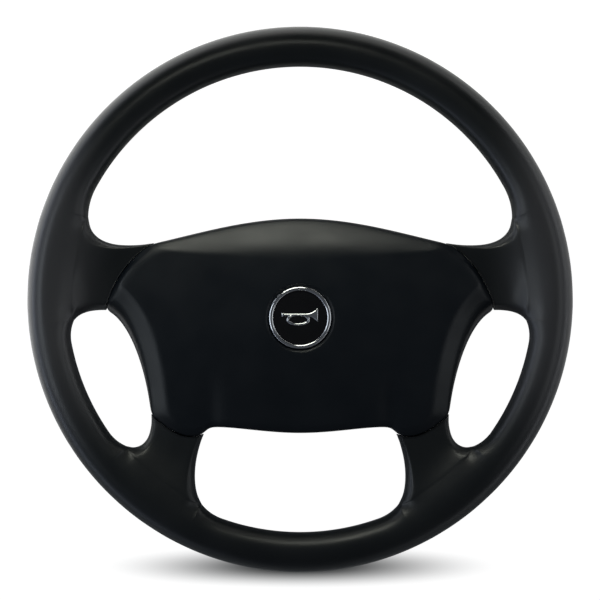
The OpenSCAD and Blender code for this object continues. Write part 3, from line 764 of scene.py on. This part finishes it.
def make_grip():
    obj = Grip().cage()
    fit_cage(obj)
    modifier = obj.modifiers.new("Smooth", "SUBSURF")
    modifier.levels = 2
    modifier.render_levels = 2
    finish_mesh(obj)
    s = sizes()
    for v in obj.data.vertices:
        v.co.z = min(v.co.z, s.dish + s.rim_h / 2)
    obj.data.shade_smooth()
    settle(obj, WHEEL, "grip_urethane", "grip")


# The pad shell
def soften(values, passes):
    for _ in range(passes):
        values = (np.roll(values, 1, 0) + 2 * values + np.roll(values, -1, 0)) / 4
    return values


class PadShell:
    """Rings of the pad, from the wall's foot over the front into the badge's seat, and the inside."""
    skirt = 60.0
    notch = 70.5
    lip = 0.6
    recess = 2.4

    def __init__(self):
        s = sizes()
        self.front = PadFront()
        rows = []
        for e, steps in enumerate(PAD_STEPS):
            count = steps + (e == len(PAD_STEPS) - 1)
            t = np.arange(count) / steps
            swell = 1 + SIDE_SWELL * (1 - t) ** SIDE_PACE if e == SIDE_EDGE else np.ones(count)
            foot = np.full(count, self.notch if e in SEAM_EDGES else self.skirt)
            radius = mm(s.seam_edge_r if e in SEAM_EDGES else s.edge_r) * swell
            soft = np.full(count, mm(s.crease) * CREASE_SOFT[e])
            curves = (cubic(PAD_EDGES[e], t), cubic(PAD_CREASES[e], t))
            rows.append(np.column_stack([*curves, foot, radius, soft]))
        right = np.vstack(rows)
        both = np.vstack([right, right[-2:0:-1] * np.array([-1, 1, -1, 1, 1, 1, 1])])
        self.outline = soften(both[:, 0:2], 3)
        self.crease = soften(both[:, 2:4], 3)
        self.foot = both[:, 4]
        way = unit(np.roll(self.outline, -1, 0) - np.roll(self.outline, 1, 0))
        self.out = np.stack([-way[:, 1], way[:, 0]], axis=-1)
        self.width = np.linalg.norm(self.outline - self.crease, axis=-1)
        self.inward = unit(self.crease - self.outline)
        self.edge_z = self.front.edge(self.outline, self.crease)
        self.round = np.minimum(soften(both[:, 5], 3), 0.8 * self.width)
        self.soft = soften(both[:, 6], 12)
        self.wall = mm(s.pad_wall)
        self.badge = np.array([0.0, mm(s.badge_y)])
        self.badge_r = mm(s.badge_d) / 2
        self.seat_z = mm(s.pad_z) - BADGE_SEAT

    def ring(self, plan, z):
        return np.column_stack([plan, np.broadcast_to(z, len(plan))])

    def place(self, distance):
        """Places at a distance from the edge: straight to the crease, then towards the pad's middle."""
        over = np.maximum(distance - self.width, 0)
        middle = unit(PAD_MIDDLE - self.crease)
        return self.outline + self.inward * (distance - over)[:, None] + middle * over[:, None]

    def beyond(self, distance):
        """Points at a distance from the edge, on the blended surface."""
        plan = self.place(distance)
        bevel = self.edge_z + self.front.slope * distance
        return self.ring(plan, smooth_min(bevel, self.front.height(plan), self.soft))

    def edge_arc(self):
        """The round between the wall and the bevel."""
        tilt = math.degrees(math.atan(self.front.slope))
        centre_z = self.edge_z - self.round * math.tan(math.radians((90 - tilt) / 2))
        rings = []
        for share in (0, 0.25, 0.5, 0.75, 1):
            a = math.radians((90 - tilt) * share)
            plan = self.outline + self.inward * (self.round * (1 - math.cos(a)))[:, None]
            rings.append(self.ring(plan, centre_z + self.round * math.sin(a)))
        return rings

    def outside(self):
        rings = [self.ring(self.outline - self.out * self.lip, self.foot)]
        rings.append(self.ring(self.outline, self.foot + self.lip))
        rings += self.edge_arc()
        start = self.round * (1 - math.sin(math.atan(self.front.slope)))
        end = self.width + 3.5 * self.soft
        for share in (0.12, 0.25, 0.4, 0.55, 0.68, 0.78, 0.86, 0.93, 1):
            rings.append(self.beyond(mix(start, end, share)))
        last = self.place(end)
        spokes = unit(last - self.badge)
        hole = self.badge_r + BADGE_GAP
        slope = self.recess
        for share in np.linspace(0, 1, 30)[1:]:
            plan = mix(last, self.badge + spokes * (hole + slope + 0.5), share)
            rings.append(self.ring(plan, self.front.height(plan)))
        for inset, drop in ((slope + 0.2, 0.03), (slope, 0.12), (slope - 0.25, 0.32), (0.2, slope - 0.6)):
            plan = self.badge + spokes * (hole + inset)
            rings.append(self.ring(plan, self.front.height(plan) - drop))
        corner = 0.15
        for radius, z in ((hole, self.seat_z + corner), (hole - corner, self.seat_z), (0.0, self.seat_z)):
            rings.append(self.ring(self.badge + spokes * radius, z))
        return rings

    def inside(self):
        inner = self.outline - self.out * self.wall
        ceiling = np.maximum(self.foot + 0.9, self.edge_z - self.round - 0.6)
        rings = [self.ring(self.outline - self.out * self.lip, self.foot),
                 self.ring(inner + self.out * 0.4, self.foot),
                 self.ring(inner, self.foot + 0.4),
                 self.ring(inner, ceiling)]
        for share in np.linspace(0.08, 1, 12):
            plan = mix(self.crease, PAD_MIDDLE, share)
            rings.append(self.ring(plan, self.front.height(plan) - self.wall))
        return rings

    def build(self):
        outside = self.outside()
        inside = self.inside()
        count = len(self.outline)
        faces = ring_faces(len(outside), count)
        faces += ring_faces(len(inside), count, len(outside) * count)
        return new_mesh("pad_shell", np.vstack(outside + inside), faces)


def make_pad():
    settle(PadShell().build(), PAD, "pad_plastic", "horn_pad")


def make_pad_ribs():
    """Screw bosses on the pad's inside, with four webs each."""
    values = {"Boss radius": 0.005, "Bore radius": 0.0017, "Height": 0.031, "Web length": 0.020,
              "Web thickness": 0.0016}
    tree = Tree("PadRibs", values)
    radius, bore, height, length, thickness = (tree.inputs[i] for i in range(1, 6))
    outlines = tree.join(tree.circle(40, radius), tree.circle(40, bore))
    disc = tree.node("GeometryNodeFillCurve", {"Curve": outlines}).outputs[0]
    rise = {"Mesh": disc, "Offset Scale": height, "Individual": False}
    tube = tree.node("GeometryNodeExtrudeMesh", rise).outputs["Mesh"]
    flipped = tree.node("GeometryNodeFlipFaces", {"Mesh": disc}).outputs[0]
    web_size = tree.vector(length, thickness, tree.maths("MULTIPLY", height, WEB_HEIGHT))
    web = tree.node("GeometryNodeMeshCube", {"Size": web_size}).outputs["Mesh"]
    lift = tree.vector(z=tree.maths("MULTIPLY", height, WEB_MIDDLE))
    webs = [tree.moved(web, Translation=lift, Rotation=(0, 0, turn)) for turn in (0.0, math.pi / 2)]
    boss = tree.join(tube, flipped, tree.join(*webs))
    tree.end(tree.at_points(boss), "pad_plastic")
    obj = points_object("pad_ribs", [(x, y, BOSS_FOOT) for x, y in PAD_BOSSES])
    tree.grow(obj, values)
    settle(obj, PAD, "pad_plastic", "horn_pad")


# The badge: a chrome ring, a domed black disc and a generic horn sign
# The sign is a tube with a mouthpiece, a bell and one turn, in millimetres from the badge's centre
TUBE_STEPS = 24
TUBE_START = -15.0
TUBE_END = 14.5
TUBE_Y = 2.4
TUBE_R = 1.05
TUBE_RISE = 0.9
MOUTH_END = -13.6
MOUTH_R = 1.8
BELL_START = 4.0
BELL_SWELL = 4.9
BELL_PACE = 2.4
BELL_FLAT = 0.17
TURN_MIDDLE = (-1.5, -1.6)
TURN_HALF = (8.6, 4.0)
TURN_FLAT = 0.85
SIGN_SUNK = 0.35


def revolve(name, profile, centre, steps=96):
    """A body of revolution about an upright axis, from (radius, height) pairs."""
    points = []
    for r, z in profile:
        for i in range(steps):
            a = 2 * math.pi * i / steps
            points.append([centre[0] + r * math.cos(a), centre[1] + r * math.sin(a), z])
    return new_mesh(name, points, ring_faces(len(profile), steps))


def make_badge_ring():
    s = sizes()
    values = {"Radius": s.badge_d / 2 - s.badge_ring / 2, "Width": s.badge_ring, "Height": 0.0020,
              "Centre": (0.0, s.badge_y, s.pad_z - 0.0002)}
    tree = Tree("BadgeRing", values)
    radius, width, height, centre = (tree.inputs[i] for i in range(1, 5))
    oval = tree.moved(tree.circle(28, 0.5), Scale=tree.vector(width, height, 1.0))
    ring = tree.swept(tree.circle(160, radius), oval)
    tree.end(tree.moved(ring, Translation=centre), "badge_chrome")
    obj = points_object("badge_ring_shine", [(0, 0, 0)])
    tree.grow(obj, values)
    settle(obj, PAD, "badge_chrome", "badge_ring")


def make_badge_disc():
    s = sizes()
    top = mm(s.pad_z)
    seat = top - BADGE_SEAT
    rim = mm(s.badge_d) / 2
    inner = rim - mm(s.badge_ring)
    profile = [(0, seat), (rim, seat), (rim, top - 1.3), (inner + 0.6, top - 1.2)]
    for share in (0.97, 0.9, 0.8, 0.65, 0.5, 0.35, 0.2, 0.1, 0):
        profile.append((inner * share, top - 1.25 + 0.9 * (1 - share * share)))
    obj = revolve("badge_dome", profile, (0, mm(s.badge_y)))
    settle(obj, PAD, "badge_black", "badge_disc")


def sweep(name, path, radii, flatness):
    """A closed tube of oval section along a path in plan, lying half sunk at the path's height."""
    steps = TUBE_STEPS
    path = np.asarray(path, float)
    way = unit(np.gradient(path[:, :2], axis=0))
    points = []
    for place, direction, r in zip(path, way, radii):
        side = np.array([-direction[1], direction[0]])
        for i in range(steps):
            a = 2 * math.pi * i / steps
            plan = place[:2] + side * r * math.cos(a)
            points.append([plan[0], plan[1], place[2] + r * flatness * math.sin(a)])
    faces = ring_faces(len(path), steps)
    faces.append(tuple(range(steps)))
    faces.append(tuple(range((len(path) - 1) * steps, len(path) * steps)))
    return new_mesh(name, points, faces)


def make_horn_sign():
    """A bugle in low relief: a tube that flares into a bell, and one oval turn below it."""
    s = sizes()
    base = mm(s.pad_z) - SIGN_SUNK
    y = mm(s.badge_y)
    along = np.linspace(TUBE_START, TUBE_END, 40)
    swell = np.clip((along - BELL_START) / (TUBE_END - BELL_START), 0, 1) ** BELL_PACE
    radii = np.where(along < MOUTH_END, MOUTH_R, TUBE_R + BELL_SWELL * swell)
    bell = sweep("horn_sign_bell", [[x, y + TUBE_Y, base] for x in along], radii, BELL_FLAT)
    stretch_relief(bell, base, [max(TUBE_RISE, BELL_FLAT * r) for r in radii])
    oval = []
    for a in np.linspace(0, 2 * math.pi, 65):
        oval.append([TURN_MIDDLE[0] + TURN_HALF[0] * math.cos(a),
                     y + TURN_MIDDLE[1] + TURN_HALF[1] * math.sin(a), base])
    loop = sweep("horn_sign_turn", oval, [TUBE_R] * len(oval), TURN_FLAT)
    for obj in (bell, loop):
        settle(obj, PAD, "badge_chrome", "badge_disc")


def stretch_relief(obj, base, heights):
    """Gives the tube's thin end a round section, so that only the bell is flat."""
    steps = TUBE_STEPS
    points = np.array([v.co[:] for v in obj.data.vertices]) / MM
    top = np.repeat(heights, steps)
    if len(points) != len(top):
        raise RuntimeError("the horn sign's tube has lost points")
    reach = np.abs(points[:, 2] - base).reshape(-1, steps).max(axis=1).repeat(steps)
    points[:, 2] = base + (points[:, 2] - base) * top / np.maximum(reach, 1e-6)
    obj.data.vertices.foreach_set("co", (points * MM).ravel())
    obj.data.update()


# The rear cover
class Cover:
    """A bowl from the pad's outline to a round flat end, with a round opening for the column."""
    top_z = 54.5
    inset = 1.2
    wall = 2.5
    end_r = 59.0
    hole_r = 42.0
    corner = 4.0
    bulge = 1.6
    screw_at = 50.5
    middle = PAD_MIDDLE * 0.6
    # Radius and height: the cut through the wall for a screw, and the boss that takes its head
    cut = ((0, -1), (4.3, -1), (4.3, 9), (0, 9))
    boss = ((4.3, 0.1), (3.8, 0.1), (3.8, 3.5), (2.0, 3.5), (2.0, 23.9), (5.0, 23.9), (5.0, 2.0), (4.3, 1.8),
            (4.3, 0.1))

    def rows(self):
        """Share of the way down, inset, and radius and height of the way's end."""
        rows = [(i / 24, 0.0, self.end_r, self.corner) for i in range(25)]
        for a in (0.3, 0.6, 0.9, 1.2, math.pi / 2):
            reach = self.corner * (1 - math.cos(a))
            rows.append((1.0, 0.0, self.end_r - reach, self.corner * (1 - math.sin(a))))
        rows += [(1.0, 0.0, self.hole_r + 0.5, 0.0), (1.0, 0.0, self.hole_r, 0.5)]
        rows.append((1.0, 0.0, self.hole_r, self.wall))
        inner_end = self.corner + self.wall * 0.6
        rows += [(i / 16, self.wall, self.end_r - self.wall, inner_end) for i in range(16, -1, -1)]
        rows.append(rows[0])
        return rows

    def cage(self):
        shell = PadShell()
        count = len(shell.outline)
        start = shell.outline - shell.out * self.inset
        aim = unit(shell.outline - self.middle)
        rows = self.rows()
        points = np.vstack([shell.ring(start - shell.out * row[1], self.top_z) for row in rows])
        mesh = raw_mesh("cover_bowl", points, ring_faces(len(rows), count))
        share = np.repeat([row[0] for row in rows], count)
        end = np.vstack([np.column_stack([aim * row[2], np.full(count, row[3])]) for row in rows]) * MM
        mesh.attributes.new("share", "FLOAT", "POINT").data.foreach_set("value", share)
        mesh.attributes.new("end", "FLOAT_VECTOR", "POINT").data.foreach_set("vector", end.ravel())
        return add_object("cover_bowl", mesh)

    def tree(self):
        """Each point runs from the outline to its end: fast down at first, then in towards the circle."""
        tree = Tree("CoverBowl", {"Bulge": self.bulge})
        share, end = (
            tree.node("GeometryNodeInputNamedAttribute", {"Name": name}, data_type=kind).outputs[0]
            for name, kind in (("share", "FLOAT"), ("end", "FLOAT_VECTOR")))
        place = tree.node("GeometryNodeInputPosition").outputs[0]
        bent = tree.maths("POWER", share, tree.inputs[1])
        plan, drop = (
            tree.parts(tree.node("ShaderNodeMix", {0: way, 4: place, 5: end}, data_type="VECTOR").outputs[1])
            for way in (bent, share))
        moved = tree.placed(tree.inputs[0], tree.vector(plan[0], plan[1], drop[2]))
        weld = {"Geometry": moved, "Distance": WELD}
        tree.end(tree.node("GeometryNodeMergeByDistance", weld).outputs[0], "cover_plastic")
        return tree


def make_cover():
    cover = Cover()
    obj = cover.cage()
    cover.tree().grow(obj, {"Bulge": cover.bulge})
    for name in ("share", "end"):
        found = obj.data.attributes.get(name)
        if found:
            obj.data.attributes.remove(found)
    places = [polar(cover.screw_at, a) for a in COVER_BOSS_ANGLES]
    cutters = [revolve("cutter", cover.cut, place, 48) for place in places]
    for cutter in cutters:
        hole = obj.modifiers.new("Screw hole", "BOOLEAN")
        hole.object = cutter
        hole.solver = "EXACT"
    finish_mesh(obj)
    for cutter in cutters:
        bpy.data.objects.remove(cutter)
    face_out(obj.data)
    bosses = [revolve(f"cover_boss_{i + 1}", cover.boss, place, 48) for i, place in enumerate(places)]
    for piece in (obj, *bosses):
        piece.data.set_sharp_from_angle(angle=math.radians(40))
        settle(piece, WHEEL, "cover_plastic", "rear_cover")


# The horn springs
def make_springs():
    s = sizes()
    values = {"Radius": s.spring_r, "Wire": s.spring_wire, "Turns": float(s.spring_turns), "Low": 0.0406,
              "High": 0.0514}
    tree = Tree("HornSpring", values)
    radius, wire, turns, low, high = (tree.inputs[i] for i in range(1, 6))
    all_turns = tree.maths("ADD", turns, 1.0)
    spiral = tree.node("GeometryNodeCurveSpiral", {
        "Resolution": 36, "Rotations": all_turns, "Start Radius": radius, "End Radius": radius,
        "Height": 0.0}).outputs[0]
    share = tree.node("GeometryNodeSplineParameter").outputs["Factor"]
    flat = tree.maths("DIVIDE", 0.5, all_turns)
    rise = tree.span(share, flat, tree.maths("SUBTRACT", 1.0, flat), low, high)
    x, y, _ = tree.parts(tree.node("GeometryNodeInputPosition").outputs[0])
    path = tree.placed(spiral, tree.vector(x, y, rise))
    coil = tree.swept(path, tree.circle(12, tree.maths("MULTIPLY", wire, 0.5)), caps=True)
    tree.end(tree.at_points(coil), "spring_steel")
    half_wire = s.spring_wire / 2 * 1.04
    # A spring is 12 mm long at rest and 9.5 mm with the pad pressed
    for i, (x, y) in enumerate(GUIDES):
        name = f"horn_spring_{i + 1}"
        bottom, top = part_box(name)
        obj = points_object(name + "_coil", [(x, y, 0)])
        tree.grow(obj, {**values, "Low": bottom.z + half_wire, "High": top.z - half_wire})
        settle(obj, WHEEL, "spring_steel", name)
        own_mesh(obj)


# Metal and nylon parts keep the CAD's own meshes
def make_hardware():
    shown = {"grip", "horn_pad", "badge_disc", "badge_ring", "rear_cover"}
    shown.update(f"horn_spring_{i + 1}" for i in range(len(GUIDES)))
    for part in frame["record"]["subparts"]:
        if part["node"] not in shown:
            dress(frame["nodes"][part["node"]], part["material_slot"])


# The stage, in metres
FLOOR_REACH = 4.0
FLOOR_Z = -0.0003
# The floor's tone for the light that it gives back, and the darker tone that the camera sees, which shows as
# a painted shadow in the oval
FLOOR_WHITE = 0.8
PAINTED_SHADOW_TONE = 0.172
# Painted shadow: an oval on the floor below the rim, where the white glow fades and the darker tone shows.
# Its place, half axes and fade, and how upright the view is to show it
PAINTED_SHADOW_PLACE = (0.0, -0.2287)
PAINTED_SHADOW_HALF = (0.150, 0.0170)
PAINTED_SHADOW_FADE = (0.15, 1.2)
FROM_ABOVE = (0.90, 0.97)
# Painted reflection: the floor glows only for glossy rays, so the wheel mirrors a glow that lights nothing
# else. By distance, by Y and by X: start, end and the strength at both
PAINTED_GLOW_AROUND = (0.232, 0.27, 0, 1)
PAINTED_GLOW_UP = (-0.22, -0.02, 0, 1)
PAINTED_GLOW_ACROSS = (-0.4, 0.4, 1.6, 0.4)
# The room: how far up or down its pale walls fade, as the Z of a direction, and the tint overhead
WALL_HEIGHT = (0.02, 0.30)
OVERHEAD_TINT = (0.92, 1.0, 1.12)
# Black cards on a circle beyond the rim's top: radius, half the angle that they cover, lower and upper edge
FLAG_R = 0.30
FLAG_HALF_ANGLE = 55
FLAGS = ((0.12, 0.27), (0.41, 0.62))
# The camera looks straight down on the rim's middle plane. Its lens is in millimetres for each metre
VIEW_DISTANCE = 2.0
VIEW_OFF = (-0.0001, -0.0005)
LENS_PER_METRE = 72.7


def floor_material():
    """White for the camera. From above, an oval below the rim is a painted shadow: the glow fades there, and
    the camera sees the floor's darker tone in its own dim shading.
    """
    material = bpy.data.materials.new("studio_floor")
    material.use_nodes = True
    floor = Nodes(material.node_tree)
    floor.nodes.clear()
    place = floor.node("ShaderNodeTexCoord").outputs["Object"]
    ray = floor.node("ShaderNodeLightPath").outputs
    face = floor.node("ShaderNodeNewGeometry").outputs
    painted_shadow = {"Vector": place, "Location": (*PAINTED_SHADOW_PLACE, 0), "Scale": (*PAINTED_SHADOW_HALF, 1)}
    oval = floor.node("ShaderNodeMapping", painted_shadow, vector_type="TEXTURE").outputs[0]
    outside = floor.fade(floor.distance(oval), *PAINTED_SHADOW_FADE)
    aslant = floor.span(floor.parts(face["Incoming"])[2], *FROM_ABOVE, 1.0, 0.0)
    # The white glow for the camera, taken away in the oval of painted shadow
    seen = floor.maths("MULTIPLY", floor.maths("MAXIMUM", outside, aslant), ray["Is Camera Ray"])
    x, y, _ = floor.parts(place)
    # Painted reflection: a glow that only glossy rays see, brightest beyond the rim's left and top
    painted_glow = ray["Is Glossy Ray"]
    for source, limits in ((floor.distance(place), PAINTED_GLOW_AROUND), (y, PAINTED_GLOW_UP), (x, PAINTED_GLOW_ACROSS)):
        painted_glow = floor.maths("MULTIPLY", painted_glow, floor.fade(source, *limits))
    emission = floor.node("ShaderNodeEmission", {"Strength": floor.maths("ADD", painted_glow, seen)}).outputs[0]
    # The camera sees a darker tone than light meets: the tone of the painted shadow
    tone = floor.span(ray["Is Camera Ray"], 0.0, 1.0, FLOOR_WHITE, PAINTED_SHADOW_TONE)
    diffuse = floor.node("ShaderNodeBsdfDiffuse", {"Color": tone}).outputs[0]
    top = floor.node("ShaderNodeAddShader", {0: emission, 1: diffuse}).outputs[0]
    clear = floor.node("ShaderNodeBsdfTransparent").outputs[0]
    floor.node("ShaderNodeOutputMaterial", {"Surface": floor.either(face["Backfacing"], top, clear)})
    return material


def make_world(studio):
    """Dim overhead, with pale walls beyond the top of the rim and at both sides. The camera sees white."""
    world = bpy.data.worlds.new("studio")
    bpy.context.scene.world = world
    world.use_nodes = True
    room = Nodes(world.node_tree)
    room.nodes.clear()
    x, y, z = room.parts(room.node("ShaderNodeTexCoord").outputs["Generated"])
    low = room.fade(room.maths("ABSOLUTE", z), *WALL_HEIGHT, 1.0, 0.0)
    light = tuple(studio.overhead * tint for tint in OVERHEAD_TINT)
    walls = [(y, 1.0, studio.horizon_top, (1.0, 0.98, 0.90)),
             (x, -1.0, studio.horizon_left, (0.80, 0.90, 1.10)),
             (x, 1.0, studio.horizon_right, (0.97, 1.0, 1.05))]
    for component, sign, level, tint in walls:
        facing = room.maths("POWER", room.maths("MAXIMUM", room.maths("MULTIPLY", component, sign)), 2.0)
        strength = room.maths("MULTIPLY", room.maths("MULTIPLY", facing, level), low)
        light = room.node("ShaderNodeVectorMath", {0: light, 1: room.scaled(tint, strength)}).outputs[0]
    dim = room.node("ShaderNodeBackground", {"Color": light}).outputs[0]
    white = room.node("ShaderNodeBackground", {"Color": (1, 1, 1, 1)}).outputs[0]
    seen = room.node("ShaderNodeLightPath").outputs["Is Camera Ray"]
    room.node("ShaderNodeOutputWorld", {"Surface": room.either(seen, dim, white)})


def make_softbox(name, azimuth, elevation, distance, size, brightness, colour):
    """An area lamp that faces the wheel. Azimuth 0 is beyond the top of the rim and 90 at its left."""
    lamp = bpy.data.lights.new(name, "AREA")
    lamp.shape = "RECTANGLE"
    lamp.size, lamp.size_y = size
    lamp.energy = brightness * math.pi * size[0] * size[1]
    lamp.color = colour
    obj = add_object(name, lamp)
    a = math.radians(azimuth)
    e = math.radians(elevation)
    way = Vector((-math.sin(a) * math.cos(e), math.cos(a) * math.cos(e), math.sin(e)))
    obj.location = way * distance
    obj.rotation_euler = way.to_track_quat("Z", "Y").to_euler()
    return obj


def make_flag(low, high):
    """A black card beyond the top of the rim. It keeps the top softbox off the rim, not off the pad."""
    turns = np.radians(np.linspace(90 - FLAG_HALF_ANGLE, 90 + FLAG_HALF_ANGLE, 25))
    plan = FLAG_R * np.column_stack([np.cos(turns), np.sin(turns)])
    points = [(x, y, z) for x, y in plan for z in (low, high)]
    faces = [(2 * i, 2 * i + 2, 2 * i + 3, 2 * i + 1) for i in range(len(plan) - 1)]
    mesh = bpy.data.meshes.new("flag")
    mesh.from_pydata(points, [], faces)
    black = bpy.data.materials.new("flag black")
    black.use_nodes = True
    shader = black.node_tree.nodes["Principled BSDF"]
    shader.inputs["Base Color"].default_value = (0.005, 0.005, 0.005, 1)
    shader.inputs["Roughness"].default_value = 0.9
    mesh.materials.append(black)
    obj = add_object("flag", mesh)
    obj.visible_camera = False
    return obj


def make_stage():
    studio = bpy.context.scene.wheel_studio
    mesh = bpy.data.meshes.new("floor")
    corners = [(x * FLOOR_REACH, y * FLOOR_REACH, 0) for x, y in ((-1, -1), (1, -1), (1, 1), (-1, 1))]
    mesh.from_pydata(corners, [], [(0, 1, 2, 3)])
    mesh.materials.append(floor_material())
    floor = add_object("floor", mesh)
    floor.location.z = FLOOR_Z
    make_world(studio)
    around = [
        make_softbox("softbox_top", 13, 46, 0.8, (0.43, 0.30), studio.box_top, (0.98, 1.0, 0.88)),
        make_softbox("softbox_left", 90, 42, 1.3, (0.9, 0.45), studio.box_left, (0.86, 0.94, 1.0)),
        make_softbox("softbox_right", -90, 42, 1.3, (0.9, 0.45), studio.box_right, (0.94, 0.98, 1.0)),
        *(make_flag(*heights) for heights in FLAGS),
    ]
    camera = bpy.data.cameras.new("camera")
    camera.sensor_width = 36
    camera.lens = LENS_PER_METRE * VIEW_DISTANCE
    view = add_object("camera", camera)
    view.location = (*VIEW_OFF, sizes().dish + VIEW_DISTANCE)
    bpy.context.scene.camera = view
    bpy.context.scene.view_settings.view_transform = "Standard"


# Operators, one for each piece or group
class WHEEL_OT_grip(bpy.types.Operator):
    """Builds the rim and the spoke ends as one moulding"""
    bl_idname = "wheel.grip"
    bl_label = "Grip"

    def execute(self, context):
        make_grip()
        return {"FINISHED"}


class WHEEL_OT_pad(bpy.types.Operator):
    """Builds the pad's shell and the bosses inside it"""
    bl_idname = "wheel.pad"
    bl_label = "Horn pad"

    def execute(self, context):
        make_pad()
        make_pad_ribs()
        return {"FINISHED"}


class WHEEL_OT_badge(bpy.types.Operator):
    """Builds the chrome ring, the disc and the horn sign on it"""
    bl_idname = "wheel.badge"
    bl_label = "Badge"

    def execute(self, context):
        make_badge_ring()
        make_badge_disc()
        make_horn_sign()
        return {"FINISHED"}


class WHEEL_OT_cover(bpy.types.Operator):
    """Builds the rear cover and its screw bosses"""
    bl_idname = "wheel.cover"
    bl_label = "Rear cover"

    def execute(self, context):
        make_cover()
        return {"FINISHED"}


class WHEEL_OT_springs(bpy.types.Operator):
    """Builds the four horn springs"""
    bl_idname = "wheel.springs"
    bl_label = "Horn springs"

    def execute(self, context):
        make_springs()
        return {"FINISHED"}


class WHEEL_OT_hardware(bpy.types.Operator):
    """Gives the parts that keep the CAD's meshes their materials"""
    bl_idname = "wheel.hardware"
    bl_label = "Hardware"

    def execute(self, context):
        make_hardware()
        return {"FINISHED"}


class WHEEL_OT_stage(bpy.types.Operator):
    """Builds the floor, the room, the lamps and the camera"""
    bl_idname = "wheel.stage"
    bl_label = "Stage"

    def execute(self, context):
        make_stage()
        return {"FINISHED"}


class WHEEL_PT_panel(bpy.types.Panel):
    """Lists the steps in the 3D view's sidebar"""
    bl_idname = "WHEEL_PT_panel"
    bl_label = "Steering wheel"
    bl_space_type = "VIEW_3D"
    bl_region_type = "UI"
    bl_category = "Wheel"

    def draw(self, context):
        for step in STEPS:
            self.layout.operator(step.bl_idname)
        for group in ("wheel_sizes", "wheel_colours", "wheel_studio"):
            settings = getattr(context.scene, group)
            for name in settings.bl_rna.properties.keys():
                if name not in ("rna_type", "name"):
                    self.layout.prop(settings, name)


STEPS = (WHEEL_OT_grip, WHEEL_OT_pad, WHEEL_OT_badge, WHEEL_OT_cover, WHEEL_OT_springs, WHEEL_OT_hardware,
         WHEEL_OT_stage)
CLASSES = (WheelSizes, WheelColours, WheelStudio, *STEPS, WHEEL_PT_panel)


def register():
    for cls in CLASSES:
        bpy.utils.register_class(cls)
    bpy.types.Scene.wheel_sizes = bpy.props.PointerProperty(type=WheelSizes)
    bpy.types.Scene.wheel_colours = bpy.props.PointerProperty(type=WheelColours)
    bpy.types.Scene.wheel_studio = bpy.props.PointerProperty(type=WheelStudio)


def unregister():
    del bpy.types.Scene.wheel_studio
    del bpy.types.Scene.wheel_colours
    del bpy.types.Scene.wheel_sizes
    for cls in reversed(CLASSES):
        bpy.utils.unregister_class(cls)


def main():
    register()
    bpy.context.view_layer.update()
    for step in STEPS:
        name = step.bl_idname.split(".")[1]
        if getattr(bpy.ops.wheel, name)() != {"FINISHED"}:
            raise RuntimeError("this step didn't finish: " + step.bl_idname)


if __name__ == "__main__":
    main()
